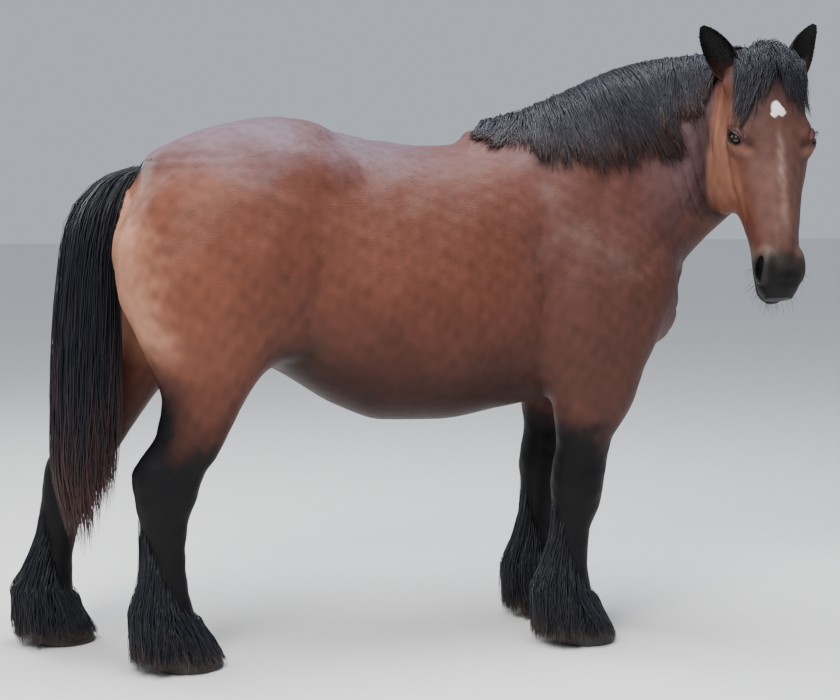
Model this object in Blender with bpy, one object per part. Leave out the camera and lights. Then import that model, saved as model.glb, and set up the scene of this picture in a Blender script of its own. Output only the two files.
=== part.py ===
"""A life-size heavy horse, a bay draft mare, standing still with its head turned to its right.

The horse faces +X, its right side is -Y and +Z is up. Lengths are metres. The body is one smooth
form made from named stations and muscles. It is parted with thin cuts, and the mane, forelock,
tail and feather are locks that grow from their parts.
"""

import math
import random

import bmesh
import bpy
import numpy as np
from mathutils import Matrix, Vector

# Driving sizes
HEAD_LENGTH = 0.725
EYE_RADIUS = 0.0225
# The middle of the eye in the head, the way that it looks, the line of its slit and the way up from it,
# each as (down the face, out of the brow, to the side)
EYE_DOWN, EYE_BROW, EYE_ASIDE = 0.240, -0.048, 0.1075
EYE_LOOK, EYE_SLIT, EYE_UP = (0.0, 0.5, 0.866), (0.66, 0.651, -0.376), (-0.752, 0.571, -0.330)
HOOF_HEIGHT = 0.075
HOOF_FLARE = 1.22
MOUTH_DEPTH, MOUTH_GAPE, MOUTH_TURN = 0.010, 0.0035, 118
MOUTH_MIDDLE = (0.625, -0.128, 0.0)
GAP = 0.0003

# Triangles kept when the smooth surfaces are thinned out
BODY_TRIANGLES = 3300
HEAD_TRIANGLES = 1500

# Torso stations along X: (place, x, top, bottom, half width, widest height as a share of the depth)
TORSO = (
    ("tail root", -0.70, 1.40, 1.16, 0.10, 0.50),
    ("pin bones", -0.64, 1.485, 1.04, 0.205, 0.50),
    ("croup", -0.48, 1.572, 0.93, 0.290, 0.55),
    ("hips", -0.29, 1.612, 0.862, 0.325, 0.58),
    ("loin", -0.08, 1.573, 0.738, 0.335, 0.50),
    ("last rib", 0.05, 1.547, 0.694, 0.352, 0.45),
    ("back", 0.22, 1.533, 0.690, 0.350, 0.44),
    ("withers", 0.42, 1.566, 0.720, 0.310, 0.42),
    ("elbow", 0.58, 1.575, 0.750, 0.270, 0.42),
    ("shoulder", 0.74, 1.48, 0.80, 0.250, 0.40),
    ("breast", 0.87, 1.34, 0.885, 0.215, 0.42),
    ("breast front", 0.965, 1.22, 0.97, 0.130, 0.45),
    ("breast end", 1.000, 1.14, 1.05, 0.050, 0.50),
)

# Near (right) hind leg, by height: (place, z, back x, front x, centre y, half width)
HIND_NEAR = (
    ("croup muscle", 1.46, -0.600, -0.24, -0.115, 0.120),
    ("hip joint", 1.35, -0.700, -0.17, -0.150, 0.168),
    ("thigh", 1.20, -0.755, -0.14, -0.172, 0.178),
    ("buttock", 1.09, -0.741, -0.165, -0.180, 0.168),
    ("stifle", 0.98, -0.697, -0.245, -0.190, 0.140),
    ("second thigh", 0.88, -0.655, -0.322, -0.193, 0.112),
    ("gaskin", 0.79, -0.625, -0.382, -0.193, 0.092),
    ("gaskin low", 0.70, -0.640, -0.427, -0.192, 0.076),
    ("hock top", 0.62, -0.694, -0.470, -0.191, 0.066),
    ("hock point", 0.575, -0.716, -0.503, -0.190, 0.066),
    ("hock", 0.50, -0.708, -0.528, -0.190, 0.064),
    ("hock base", 0.43, -0.694, -0.553, -0.190, 0.054),
    ("cannon", 0.33, -0.676, -0.562, -0.190, 0.043),
    ("cannon low", 0.24, -0.672, -0.556, -0.190, 0.043),
    ("fetlock", 0.17, -0.682, -0.540, -0.190, 0.056),
    ("pastern", 0.115, -0.642, -0.520, -0.190, 0.050),
    ("coronet", 0.075, -0.640, -0.495, -0.190, 0.064),
)

# Far (left) hind leg, set well back: same columns
HIND_FAR = (
    ("croup muscle", 1.46, -0.600, -0.24, 0.115, 0.120),
    ("hip joint", 1.35, -0.700, -0.17, 0.150, 0.168),
    ("thigh", 1.20, -0.755, -0.145, 0.172, 0.176),
    ("buttock", 1.09, -0.762, -0.20, 0.178, 0.164),
    ("stifle", 0.98, -0.765, -0.345, 0.186, 0.136),
    ("second thigh", 0.88, -0.785, -0.495, 0.188, 0.110),
    ("gaskin", 0.79, -0.818, -0.600, 0.188, 0.090),
    ("gaskin low", 0.70, -0.860, -0.668, 0.187, 0.075),
    ("hock top", 0.62, -0.918, -0.722, 0.186, 0.066),
    ("hock point", 0.565, -0.956, -0.760, 0.185, 0.066),
    ("hock", 0.49, -0.970, -0.800, 0.185, 0.064),
    ("hock base", 0.42, -0.975, -0.835, 0.185, 0.054),
    ("cannon", 0.33, -0.981, -0.868, 0.185, 0.043),
    ("cannon low", 0.24, -0.998, -0.882, 0.185, 0.043),
    ("fetlock", 0.17, -1.020, -0.882, 0.185, 0.056),
    ("pastern", 0.115, -0.990, -0.872, 0.185, 0.050),
    ("coronet", 0.075, -0.996, -0.855, 0.185, 0.064),
)

# Forelegs, both the same, by height: (place, z, back x, front x, centre y of the right leg, half width)
FORE = (
    ("shoulder blade", 1.42, 0.52, 0.76, -0.090, 0.060),
    ("shoulder", 1.28, 0.50, 0.86, -0.140, 0.100),
    ("point of shoulder", 1.10, 0.52, 0.940, -0.170, 0.125),
    ("upper arm", 0.95, 0.530, 0.893, -0.178, 0.118),
    ("elbow", 0.84, 0.542, 0.838, -0.180, 0.106),
    ("forearm", 0.76, 0.556, 0.803, -0.180, 0.096),
    ("forearm mid", 0.69, 0.566, 0.770, -0.178, 0.084),
    ("forearm low", 0.62, 0.572, 0.742, -0.176, 0.070),
    ("knee top", 0.56, 0.562, 0.732, -0.174, 0.068),
    ("knee", 0.50, 0.556, 0.724, -0.172, 0.070),
    ("knee base", 0.43, 0.562, 0.712, -0.171, 0.060),
    ("cannon", 0.35, 0.568, 0.682, -0.170, 0.047),
    ("cannon low", 0.25, 0.562, 0.676, -0.170, 0.045),
    ("fetlock", 0.17, 0.546, 0.688, -0.170, 0.058),
    ("pastern", 0.115, 0.590, 0.706, -0.170, 0.052),
    ("coronet", 0.075, 0.590, 0.728, -0.170, 0.066),
)

# Neck: a curve in plan, and stations along it: (place, share of the length, top, bottom, half width)
NECK_START = (0.36, 0.0)
NECK_END = (1.140, -0.250)
NECK_START_PULL = (1.10, 0.0)
NECK_END_PULL = (0.0, -0.62)
NECK = (
    ("withers", 0.00, 1.520, 1.02, 0.13),
    ("base", 0.14, 1.598, 1.00, 0.185),
    ("shoulder", 0.27, 1.674, 1.00, 0.205),
    ("breast", 0.40, 1.733, 1.02, 0.200),
    ("lower third", 0.53, 1.776, 1.02, 0.180),
    ("middle", 0.67, 1.800, 1.100, 0.158),
    ("throat", 0.84, 1.808, 1.260, 0.124),
    ("poll", 1.00, 1.800, 1.390, 0.098),
)

# Head: its poll, the way that it faces in plan, and how far its axis drops below the horizontal
POLL = (1.155, -0.402, 1.792)
HEAD_HEADING = math.radians(-93.0)
HEAD_DROP = math.radians(77.0)
# Stations down the face: (place, share of the length, brow side, jaw side, half width, roundness)
HEAD = (
    ("behind poll", -0.06, -0.050, -0.200, 0.078, 2.0),
    ("poll", 0.00, -0.012, -0.240, 0.092, 2.0),
    ("temple", 0.13, 0.006, -0.280, 0.112, 2.2),
    ("forehead", 0.24, 0.012, -0.305, 0.121, 2.3),
    ("eye", 0.34, 0.008, -0.318, 0.121, 2.2),
    ("cheek", 0.44, 0.000, -0.318, 0.111, 2.2),
    ("face", 0.54, -0.006, -0.272, 0.094, 2.2),
    ("bridge", 0.66, -0.012, -0.220, 0.077, 2.2),
    ("bars", 0.77, -0.014, -0.190, 0.067, 2.1),
    ("nostrils", 0.87, -0.010, -0.176, 0.068, 2.2),
    ("muzzle", 0.94, -0.024, -0.164, 0.057, 2.1),
    ("lips", 0.985, -0.052, -0.138, 0.040, 2.0),
)


def spline(knots, values, at):
    """A smooth curve through the knots that doesn't overshoot: cubic pieces with limited slopes."""
    knots = np.asarray(knots, float)
    values = np.asarray(values, float)
    steps = np.diff(knots)
    rises = np.diff(values) / steps
    slopes = np.zeros(len(knots))
    slopes[0], slopes[-1] = rises[0], rises[-1]
    same_way = rises[:-1] * rises[1:] > 0
    before, after = steps[:-1], steps[1:]
    mean = (before + after) * 3 / ((2 * after + before) / np.where(same_way, rises[:-1], 1)
                                   + (after + 2 * before) / np.where(same_way, rises[1:], 1))
    slopes[1:-1] = np.where(same_way, mean, 0)
    at = np.clip(at, knots[0], knots[-1])
    piece = np.clip(np.searchsorted(knots, at, side="right") - 1, 0, len(steps) - 1)
    step = steps[piece]
    t = (at - knots[piece]) / step
    return ((1 + 2 * t) * (1 - t) ** 2 * values[piece] + t * (1 - t) ** 2 * step * slopes[piece]
            + t * t * (3 - 2 * t) * values[piece + 1] + t * t * (t - 1) * step * slopes[piece + 1])


def column(stations, index):
    return [row[index] for row in stations]


def table(knots, values, count=240):
    """The smooth curve sampled finely, as a lookup for many points."""
    at = np.linspace(knots[0], knots[-1], count)
    return at, spline(knots, values, at)


def blend(first, second, reach):
    """The nearer of two forms, rounded where they meet."""
    share = np.clip(0.5 + 0.5 * (second - first) / reach, 0, 1)
    return second + (first - second) * share - reach * share * (1 - share)


def carve(form, hole, reach):
    """The form without the hole, with a rounded rim."""
    return -blend(-form, hole, reach)


def section(up, side, low, high, half, widest=0.5, power=2.0):
    """How far a point lies outside an oval that spans low to high and half to each side."""
    middle = low + (high - low) * widest
    radius = np.where(up > middle, high - middle, middle - low)
    spread = (np.abs((up - middle) / radius) ** power + np.abs(side / half) ** power) ** (1 / power)
    return (spread - 1) * np.minimum(radius, half)


def past_ends(along, first, last):
    return np.maximum(first - along, along - last)


class Torso:
    """The barrel, rump and breast, as sections across X."""

    low, high = (-0.75, -0.42, 0.60), (1.05, 0.42, 1.68)

    def __init__(self):
        knots = column(TORSO, 1)
        self.span = knots[0], knots[-1]
        self.top, self.bottom, self.half, self.widest = (
            table(knots, column(TORSO, index)) for index in (2, 3, 4, 5))

    def __call__(self, p):
        x, y, z = p.T
        value = section(z, y, np.interp(x, *self.bottom), np.interp(x, *self.top),
                        np.interp(x, *self.half), np.interp(x, *self.widest), 2.15)
        return np.maximum(value, past_ends(x, *self.span))


class Leg:
    """A leg, as level sections at each height. Side 1 mirrors a right leg to the left."""

    def __init__(self, stations, mirror=False):
        coronet = stations[-1]
        stations += ((coronet[0], coronet[1] - 0.03, *coronet[2:]),)
        rows = sorted(stations, key=lambda row: row[1])
        knots = column(rows, 1)
        self.sign = -1.0 if mirror else 1.0
        self.span = knots[0], knots[-1]
        self.back, self.front, self.middle, self.half = (
            table(knots, column(rows, index)) for index in (2, 3, 4, 5))
        backs, fronts = column(rows, 2), column(rows, 3)
        sides = [self.sign * (row[4] + s * row[5]) for row in rows for s in (-1, 1)]
        self.low = (min(backs), min(sides), knots[0])
        self.high = (max(fronts), max(sides), knots[-1])

    def __call__(self, p):
        x, y, z = p.T
        value = section(x, self.sign * y - np.interp(z, *self.middle), np.interp(z, *self.back),
                        np.interp(z, *self.front), np.interp(z, *self.half), 0.5, 2.1)
        return np.maximum(value, past_ends(z, *self.span))


class Neck:
    """The neck, as upright sections across a curve in plan."""

    samples = 120

    def __init__(self):
        start, end = np.array(NECK_START), np.array(NECK_END)
        pull_start, pull_end = np.array(NECK_START_PULL), np.array(NECK_END_PULL)
        t = np.linspace(0, 1, self.samples)[:, None]
        self.line = ((1 + 2 * t) * (1 - t) ** 2 * start + t * (1 - t) ** 2 * pull_start
                     + t * t * (3 - 2 * t) * end + t * t * (t - 1) * pull_end)
        steps = np.linalg.norm(np.diff(self.line, axis=0), axis=1)
        self.share = np.r_[0, np.cumsum(steps)] / steps.sum()
        self.length = steps.sum()
        heading = np.gradient(self.line, axis=0)
        self.heading = heading / np.linalg.norm(heading, axis=1)[:, None]
        knots = column(NECK, 1)
        self.top, self.bottom, self.half = (table(knots, column(NECK, i)) for i in (2, 3, 4))
        self.low = (NECK_START[0], NECK_END[1] - 0.25, 0.9)
        self.high = (NECK_END[0] + 0.25, 0.26, 1.86)

    def place(self, p):
        """Share of the neck's length, and distance to its left, of points in plan."""
        share = np.empty(len(p))
        aside = np.empty(len(p))
        for first in range(0, len(p), 20000):
            part = slice(first, first + 20000)
            apart = p[part, None, :2] - self.line[None]
            near = (apart ** 2).sum(2).argmin(1)
            gap = apart[np.arange(len(near)), near]
            ahead = self.heading[near]
            along = (gap * ahead).sum(1)
            share[part] = self.share[near] + along / self.length
            aside[part] = ahead[:, 0] * gap[:, 1] - ahead[:, 1] * gap[:, 0]
        return share, aside

    def point(self, share, aside, z):
        """The point at a share of the neck's length, so far to its left, at height z."""
        x, y = (np.interp(share, self.share, self.line[:, i]) for i in (0, 1))
        hx, hy = (np.interp(share, self.share, self.heading[:, i]) for i in (0, 1))
        return np.array([x - aside * hy, y + aside * hx, z])

    def __call__(self, p):
        share, aside = self.place(p)
        value = section(p[:, 2], aside, np.interp(share, *self.bottom),
                        np.interp(share, *self.top), np.interp(share, *self.half), 0.36, 1.85)
        return np.maximum(value, past_ends(share, 0, 1) * self.length)


def head_axes():
    """Unit vectors down the face, out of the brow, and to the horse's left."""
    ahead = np.array([math.cos(HEAD_HEADING), math.sin(HEAD_HEADING), 0])
    up = np.array([0, 0, 1.0])
    down_face = math.cos(HEAD_DROP) * ahead - math.sin(HEAD_DROP) * up
    brow = math.sin(HEAD_DROP) * ahead + math.cos(HEAD_DROP) * up
    left = np.cross(up, ahead)
    return down_face, brow, left


def head_local(p):
    return (p - np.array(POLL)) @ np.array(head_axes()).T


def head_world(down, brow, left):
    """The point so far down the face from the poll, out of the brow line and to the left."""
    return np.array(POLL) + np.array([down, brow, left]) @ np.array(head_axes())


class Head:
    """The skull, jaw and muzzle, as sections across the head's own axis."""

    def __init__(self):
        knots = [share * HEAD_LENGTH for share in column(HEAD, 1)]
        self.span = knots[0], knots[-1]
        self.brow, self.jaw, self.half, self.power = (
            table(knots, column(HEAD, index)) for index in (2, 3, 4, 5))
        ends = [head_world(a, n, side * 0.14) for a in (knots[0], knots[-1]) for n in (0.04, -0.32)
                for side in (-1, 1)]
        self.low, self.high = np.min(ends, axis=0), np.max(ends, axis=0)

    def __call__(self, p):
        down, brow, left = head_local(p).T
        value = section(brow, left, np.interp(down, *self.jaw), np.interp(down, *self.brow),
                        np.interp(down, *self.half), 0.68, np.interp(down, *self.power))
        return np.maximum(value, past_ends(down, *self.span))


class Lump:
    """An oval muscle or bone under the skin, with its long side along a direction."""

    def __init__(self, centre, radii, along=(0, 0, 1), across=(0, 1, 0)):
        self.centre = np.array(centre, float)
        self.radii = np.array(radii, float)
        first = np.array(along, float)
        first /= np.linalg.norm(first)
        second = np.array(across, float)
        second -= first * (second @ first)
        second /= np.linalg.norm(second)
        self.axes = np.array([first, second, np.cross(first, second)])
        reach = np.abs(self.axes.T * self.radii).sum(1)
        self.low, self.high = self.centre - reach, self.centre + reach

    def __call__(self, p):
        q = (p - self.centre) @ self.axes.T
        near = np.linalg.norm(q / self.radii, axis=1)
        steep = np.linalg.norm(q / self.radii ** 2, axis=1)
        return near * (near - 1) / np.maximum(steep, 1e-9)


def both_sides(centre, radii, along=(0, 0, 1), across=(0, 1, 0)):
    """The same lump on the right and the left."""
    flip = np.array([1, -1, 1])
    return [Lump(centre, radii, along, across),
            Lump(centre * flip, radii, np.array(along) * flip, np.array(across) * flip)]


def head_lump(down, brow, left, radii, along=(1, 0, 0), across=(0, 0, 1)):
    """A lump placed by the head's own directions, on one side of it."""
    axes = np.array(head_axes())
    return Lump(head_world(down, brow, left), radii, np.array(along) @ axes, np.array(across) @ axes)


def head_pair(down, brow, left, radii, along=(1, 0, 0), across=(0, 0, 1)):
    flip = np.array([1, 1, -1])
    return [head_lump(down, brow, left, radii, along, across),
            head_lump(down, brow, -left, radii, np.array(along) * flip, np.array(across) * flip)]


def eye_spot(along, up, out):
    """A place by the left eye, in the head's directions: along its slit, up from it and out of it."""
    return tuple(np.array([EYE_DOWN, EYE_BROW, EYE_ASIDE]) + along * np.array(EYE_SLIT)
                 + up * np.array(EYE_UP) + out * np.array(EYE_LOOK))


class Form:
    """Forms joined or carved one after another. Each is worked out only near its own box."""

    margin = 0.13

    def __init__(self, steps):
        self.steps = steps

    def __call__(self, p):
        p = np.asarray(p, float)
        value = np.full(len(p), 1.0)
        for act, form, reach in self.steps:
            edge = max(self.margin, reach) if act is blend else reach + 0.01
            low, high = np.array(form.low) - edge, np.array(form.high) + edge
            near = np.flatnonzero(((p >= low) & (p <= high)).all(1))
            if len(near):
                value[near] = act(value[near], form(p[near]), reach)
        return value

    def slope(self, p, step=1e-3):
        """The direction straight out of the surface, not of unit length."""
        moves = step * np.eye(3)
        return np.stack([self(p + move) - self(p - move) for move in moves], 1) / (2 * step)


def body_steps():
    """Torso, neck and legs with the muscles that shape them."""
    steps = [(blend, Torso(), 0.02), (blend, Neck(), 0.09)]
    steps += [(blend, Leg(HIND_NEAR), 0.09), (blend, Leg(HIND_FAR), 0.09)]
    steps += [(blend, Leg(FORE), 0.05), (blend, Leg(FORE, mirror=True), 0.05)]
    muscles = (
        ((0.66, -0.215, 1.06), (0.20, 0.075, 0.12), (0.30, 0.06, 1)),       # triceps
        ((0.85, -0.160, 1.13), (0.09, 0.065, 0.08), (0.3, 0, 1)),           # point of shoulder
        ((0.885, -0.105, 1.04), (0.11, 0.080, 0.085), (-0.3, 0, 1)),        # breast muscle
        ((0.735, -0.212, 0.815), (0.12, 0.048, 0.060), (0.15, 0, 1)),       # forearm muscle
        ((0.585, -0.195, 0.875), (0.055, 0.045, 0.045), (0, 0, 1)),         # elbow
        ((-0.50, -0.225, 1.20), (0.27, 0.105, 0.17), (0.25, 0.1, 1)),       # haunch
        ((-0.275, -0.210, 1.03), (0.10, 0.055, 0.065), (-0.5, 0, 1)),       # stifle
        ((-0.195, -0.240, 1.450), (0.110, 0.046, 0.070), (1, 0.1, -0.1)),   # point of hip
        ((-0.38, -0.120, 1.512), (0.25, 0.105, 0.074), (1, 0, 0.16)),       # croup muscle
    )
    for centre, radii, along in muscles:
        steps += [(blend, lump, 0.06) for lump in both_sides(centre, radii, along)]
    return steps


def head_steps():
    """The head with its bones, lips and nostrils."""
    steps = [(blend, Head(), 0.035)]
    steps += [(blend, lump, 0.03) for lump in (
        head_pair(0.285, -0.215, 0.088, (0.145, 0.042, 0.118))              # cheek muscle
        + head_pair(EYE_DOWN, EYE_BROW, 0.103, (0.052, 0.028, 0.040), (1, 0, 0), EYE_LOOK)   # orbit
        + head_pair(0.070, -0.080, 0.084, (0.060, 0.042, 0.042), (1, -0.4, -0.8))          # root of the ear
        + [head_lump(0.38, -0.020, 0, (0.27, 0.034, 0.022))])]              # bridge of the nose
    steps += [(blend, lump, 0.015) for lump in (
        head_pair(0.380, -0.096, 0.094, (0.100, 0.010, 0.014), (1, -0.15, -0.22))   # facial crest
        + head_pair(0.618, -0.052, 0.050, (0.052, 0.026, 0.040), (1, -0.35, 0.1))   # wing of the nostril
        + [head_lump(0.668, -0.088, 0, (0.050, 0.050, 0.052)),                      # upper lip
           head_lump(0.672, -0.142, 0, (0.046, 0.043, 0.034)),                      # lower lip
           head_lump(0.640, -0.166, 0, (0.044, 0.038, 0.030))])]                    # chin
    steps += [(blend, lump, 0.010) for lump in (
        head_pair(*eye_spot(0.0, 0.0155, 0.0165), (0.031, 0.012, 0.010), EYE_SLIT, EYE_LOOK)    # upper lid
        + head_pair(*eye_spot(0.0, -0.0160, 0.0140), (0.028, 0.011, 0.009), EYE_SLIT, EYE_LOOK))]   # lower
    steps += [(carve, lump, 0.012)
              for lump in head_pair(0.160, -0.030, 0.136, (0.050, 0.024, 0.030))]       # hollow above the eye
    return steps


def eye_openings():
    return head_pair(*eye_spot(0.0, 0.0, 0.0245), (0.0275, 0.022, 0.0130), EYE_SLIT, EYE_LOOK)


def eye_lump(side, radius):
    return head_lump(EYE_DOWN, EYE_BROW, side * EYE_ASIDE, (radius, radius, radius))


def nostrils():
    return head_pair(0.628, -0.044, 0.066, (0.036, 0.022, 0.016), (1, -0.45, -0.2))


def mouth_rim(form, count=13):
    """Points of the surface round the muzzle where the lips meet, from corner to corner."""
    axes = np.array(head_axes())
    middle = head_world(*MOUTH_MIDDLE)
    turns = np.radians(np.linspace(-MOUTH_TURN, MOUTH_TURN, count))
    ways = np.stack([np.cos(turns), 0.05 * np.cos(turns), np.sin(turns)], 1) @ axes
    near, far = np.zeros(count), np.full(count, 0.16)
    for _ in range(24):
        mid = (near + far) / 2
        inside = form(middle + ways * mid[:, None]) < 0
        near, far = np.where(inside, mid, near), np.where(inside, far, mid)
    return middle + ways * near[:, None], ways


class Ahead:
    """The space of the head: ahead of its cut by a margin, and above the breast."""

    low, high = (-9, -9, -9), (9, 9, 9)

    def __init__(self, margin):
        self.margin = margin

    def __call__(self, p):
        return np.maximum(self.margin - plane_side(p, HEAD_BASE), -plane_side(p, OVER_BREAST))


def keep(form, region, reach):
    """The part of the form inside a region, with a rounded rim."""
    return -blend(-form, -region, reach)


def plane_side(p, plane):
    """How far points lie in front of a plane."""
    point, normal = (np.array(v) for v in plane)
    return (np.array(p) - point) @ normal / np.linalg.norm(normal)


def horse_steps():
    return body_steps() + head_steps()


def near_cells(form, low, high, cell, levels, reach=2.6):
    """Whole-number places of the cells close to the surface, found by halving bigger ones."""
    size = cell * 2 ** levels
    counts = np.ceil((np.array(high) - low) / size).astype(int)
    cells = np.stack(np.meshgrid(*map(np.arange, counts), indexing="ij"), -1).reshape(-1, 3)
    corners = np.stack(np.meshgrid((0, 1), (0, 1), (0, 1), indexing="ij"), -1).reshape(-1, 3)
    for _ in range(levels):
        centres = low + (cells + 0.5) * size
        close = np.abs(form(centres)) < reach * 0.87 * size
        cells = (cells[close, None] * 2 + corners).reshape(-1, 3)
        size /= 2
    return cells


def numbered(cells, wide):
    return (cells[:, 0] * wide + cells[:, 1]) * wide + cells[:, 2]


def skin_mesh(form, low, high, cell, levels=2):
    """Points and four-sided faces of the form's surface: one point to a cell that it passes through."""
    low = np.array(low, float)
    wide = 1 << 14
    cells = near_cells(form, low, high, cell, levels)
    corners = np.stack(np.meshgrid((0, 1), (0, 1), (0, 1), indexing="ij"), -1).reshape(-1, 3)
    spots = numbered((cells[:, None] + corners).reshape(-1, 3), wide)
    unique, back = np.unique(spots, return_inverse=True)
    places = np.stack([unique // wide // wide, unique // wide % wide, unique % wide], 1)
    values = form(low + places * cell)[back].reshape(-1, 8)
    inside = values < 0
    mixed = inside.any(1) & ~inside.all(1)
    cells, values, inside = cells[mixed], values[mixed], inside[mixed]
    total = np.zeros((len(cells), 3))
    count = np.zeros(len(cells))
    edges = [(i, i + step) for axis, step in enumerate((4, 2, 1))
             for i in range(8) if not i & step]
    for start, end in edges:
        crossed = inside[:, start] != inside[:, end]
        share = values[:, start] / np.where(crossed, values[:, start] - values[:, end], 1)
        spot = corners[start] + share[:, None] * (corners[end] - corners[start])
        total += np.where(crossed[:, None], spot, 0)
        count += crossed
    points = low + (cells + total / count[:, None]) * cell
    order = np.argsort(numbered(cells, wide))
    keys = numbered(cells, wide)[order]
    faces = []
    for axis in range(3):
        first, second = np.eye(3, dtype=int)[[(axis + 1) % 3, (axis + 2) % 3]]
        start, end = 0, (4, 2, 1)[axis]
        crossed = np.flatnonzero(inside[:, start] != inside[:, end])
        around = [cells[crossed] - move for move in (0 * first, first, first + second, second)]
        found = np.stack([order[np.searchsorted(keys, numbered(c, wide)).clip(0, len(keys) - 1)]
                          for c in around], 1)
        whole = np.all([(cells[found[:, i]] == around[i]).all(1) for i in range(4)], axis=0)
        facing = inside[crossed, start]
        quads = np.where(facing[:, None], found, found[:, ::-1])
        faces.append(quads[whole])
    return points, np.concatenate(faces)


def settle(form, points, rounds=3, most=0.004):
    """Moves the points onto the surface itself."""
    for _ in range(rounds):
        value = form(points)
        slope = form.slope(points)
        move = value[:, None] * slope / np.maximum((slope ** 2).sum(1), 0.05)[:, None]
        size = np.linalg.norm(move, axis=1)[:, None]
        points = points - move * np.minimum(1, most / np.maximum(size, 1e-9))
    return points


# Where the body is parted: a point of each plane and the way that it faces, or a height
NECK_BASE = ((0.43, 0.0, 1.60), (0.625, 0.0, 0.781))
HEAD_BASE = ((1.045, -0.110, 1.52), (0.745, -0.667, 0.0))
OVER_BREAST = ((0.98, 0.0, 1.12), (0.85, 0.0, 0.53))
FLANK_CUT = -0.13
FORE_TOP, HIND_TOP, CANNON_TOP = 0.70, 0.80, 0.43
FORE_REACH = (0.45, 1.00)
HIND_REACH = (-1.30, -0.28)

COLOURS = {
    "coat": ((0.27, 0.105, 0.055), 0.55),
    "black_hair": ((0.022, 0.022, 0.026), 0.60),
    "horn": ((0.060, 0.052, 0.045), 0.65),
    "eye": ((0.018, 0.010, 0.007), 0.12),
}


def material(name):
    found = bpy.data.materials.get(name)
    if found:
        return found
    made = bpy.data.materials.new(name)
    made.use_nodes = True
    shader = made.node_tree.nodes["Principled BSDF"]
    colour, roughness = COLOURS[name]
    shader.inputs["Base Color"].default_value = (*colour, 1)
    shader.inputs["Roughness"].default_value = roughness
    return made


def add_object(name, points, faces, finish):
    mesh = bpy.data.meshes.new(name)
    mesh.from_pydata([tuple(map(float, p)) for p in points], [], [list(map(int, f)) for f in faces])
    mesh.validate()
    mesh.update()
    mesh.materials.append(material(finish))
    made = bpy.data.objects.new(name, mesh)
    bpy.context.scene.collection.objects.link(made)
    return made


def remove(*objects):
    for gone in objects:
        bpy.data.objects.remove(gone)


def apply(target):
    """Turns the modifiers into the object's own mesh."""
    graph = bpy.context.evaluated_depsgraph_get()
    mesh = bpy.data.meshes.new_from_object(target.evaluated_get(graph))
    target.modifiers.clear()
    target.data = mesh
    return target


def copy_of(source, name):
    made = source.copy()
    made.data = source.data.copy()
    made.name = name
    bpy.context.scene.collection.objects.link(made)
    return made


def boolean(target, tool, operation, solver="EXACT"):
    step = target.modifiers.new("join", "BOOLEAN")
    step.operation = operation
    step.solver = solver
    step.object = tool
    apply(target)
    return target


def triangles(target):
    return sum(len(face.vertices) - 2 for face in target.data.polygons)


def thin_out(target, count):
    step = target.modifiers.new("thin", "DECIMATE")
    step.ratio = count / triangles(target)
    step.use_collapse_triangulate = True
    return apply(target)


def largest_piece(target):
    """Keeps only the biggest closed surface of the mesh."""
    body = bmesh.new()
    body.from_mesh(target.data)
    left = set(body.verts)
    best = []
    while left:
        found, edge = [], [left.pop()]
        while edge:
            vert = edge.pop()
            found.append(vert)
            fresh = {e.other_vert(vert) for e in vert.link_edges} & left
            left -= fresh
            edge.extend(fresh)
        if len(found) > len(best):
            best = found
    kept = set(best)
    bmesh.ops.delete(body, geom=[v for v in body.verts if v not in kept], context="VERTS")
    body.to_mesh(target.data)
    body.free()
    return target


def block(low, high, name="cutter"):
    """A box between two corners."""
    corners = [(x, y, z) for x in (low[0], high[0]) for y in (low[1], high[1]) for z in (low[2], high[2])]
    faces = [(0, 1, 3, 2), (4, 6, 7, 5), (0, 4, 5, 1), (2, 3, 7, 6), (0, 2, 6, 4), (1, 5, 7, 3)]
    return add_object(name, corners, faces, "coat")


def half_space(point, normal, size=4.0):
    """A big block that fills the side of a plane that its normal points to."""
    made = block((-size, -size, 0), (size, size, 2 * size))
    turn = Vector(normal).to_track_quat("Z", "Y")
    made.data.transform(Matrix.Translation(point) @ turn.to_matrix().to_4x4())
    return made


def split(target, point, normal, front_name):
    """Parts the object at a plane with a thin gap. Returns what lies behind the plane and in front."""
    away = Vector(normal).normalized()
    front = copy_of(target, front_name)
    for piece, facing in ((front, away), (target, -away)):
        tool = half_space(Vector(point) + facing * GAP / 2, facing)
        boolean(piece, tool, "INTERSECT")
        remove(tool)
        largest_piece(piece)
    return target, front


def take_box(target, low, high, name):
    """Moves what lies in a box into an object of its own, with a thin gap."""
    taken = copy_of(target, name)
    inner = block(np.array(low) + GAP / 2, np.array(high) - GAP / 2)
    outer = block(np.array(low) - GAP / 2, np.array(high) + GAP / 2)
    boolean(taken, inner, "INTERSECT")
    boolean(target, outer, "DIFFERENCE")
    remove(inner, outer)
    return largest_piece(taken)


def form_object(name, form, low, high, cell, count, finish="coat"):
    points, faces = skin_mesh(form, low, high, cell)
    made = add_object(name, settle(form, points, 2), faces, finish)
    return thin_out(made, count)


def swollen(source, amount):
    """A copy with its surface moved out, to cut a neighbour clear of it."""
    made = copy_of(source, "swollen")
    mesh = made.data
    normals = [vert.normal.copy() for vert in mesh.vertices]
    for vert, normal in zip(mesh.vertices, normals):
        vert.co += normal * amount
    return made


def clear_of(target, *neighbours, gap=GAP):
    """Cuts the object so that it stays a gap away from its neighbours."""
    for neighbour in neighbours:
        tool = swollen(neighbour, gap)
        boolean(target, tool, "DIFFERENCE", "MANIFOLD")
        remove(tool)
    return largest_piece(target)


def ring_faces(rings, points, start=0):
    """Four-sided faces between rings of points, and a face over each end."""
    def at(ring, point):
        return start + ring * points + point % points
    faces = [(at(r, i), at(r, i + 1), at(r + 1, i + 1), at(r + 1, i))
             for r in range(rings - 1) for i in range(points)]
    first = tuple(range(start + points - 1, start - 1, -1))
    last = tuple(start + (rings - 1) * points + i for i in range(points))
    return faces + [first, last]


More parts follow.
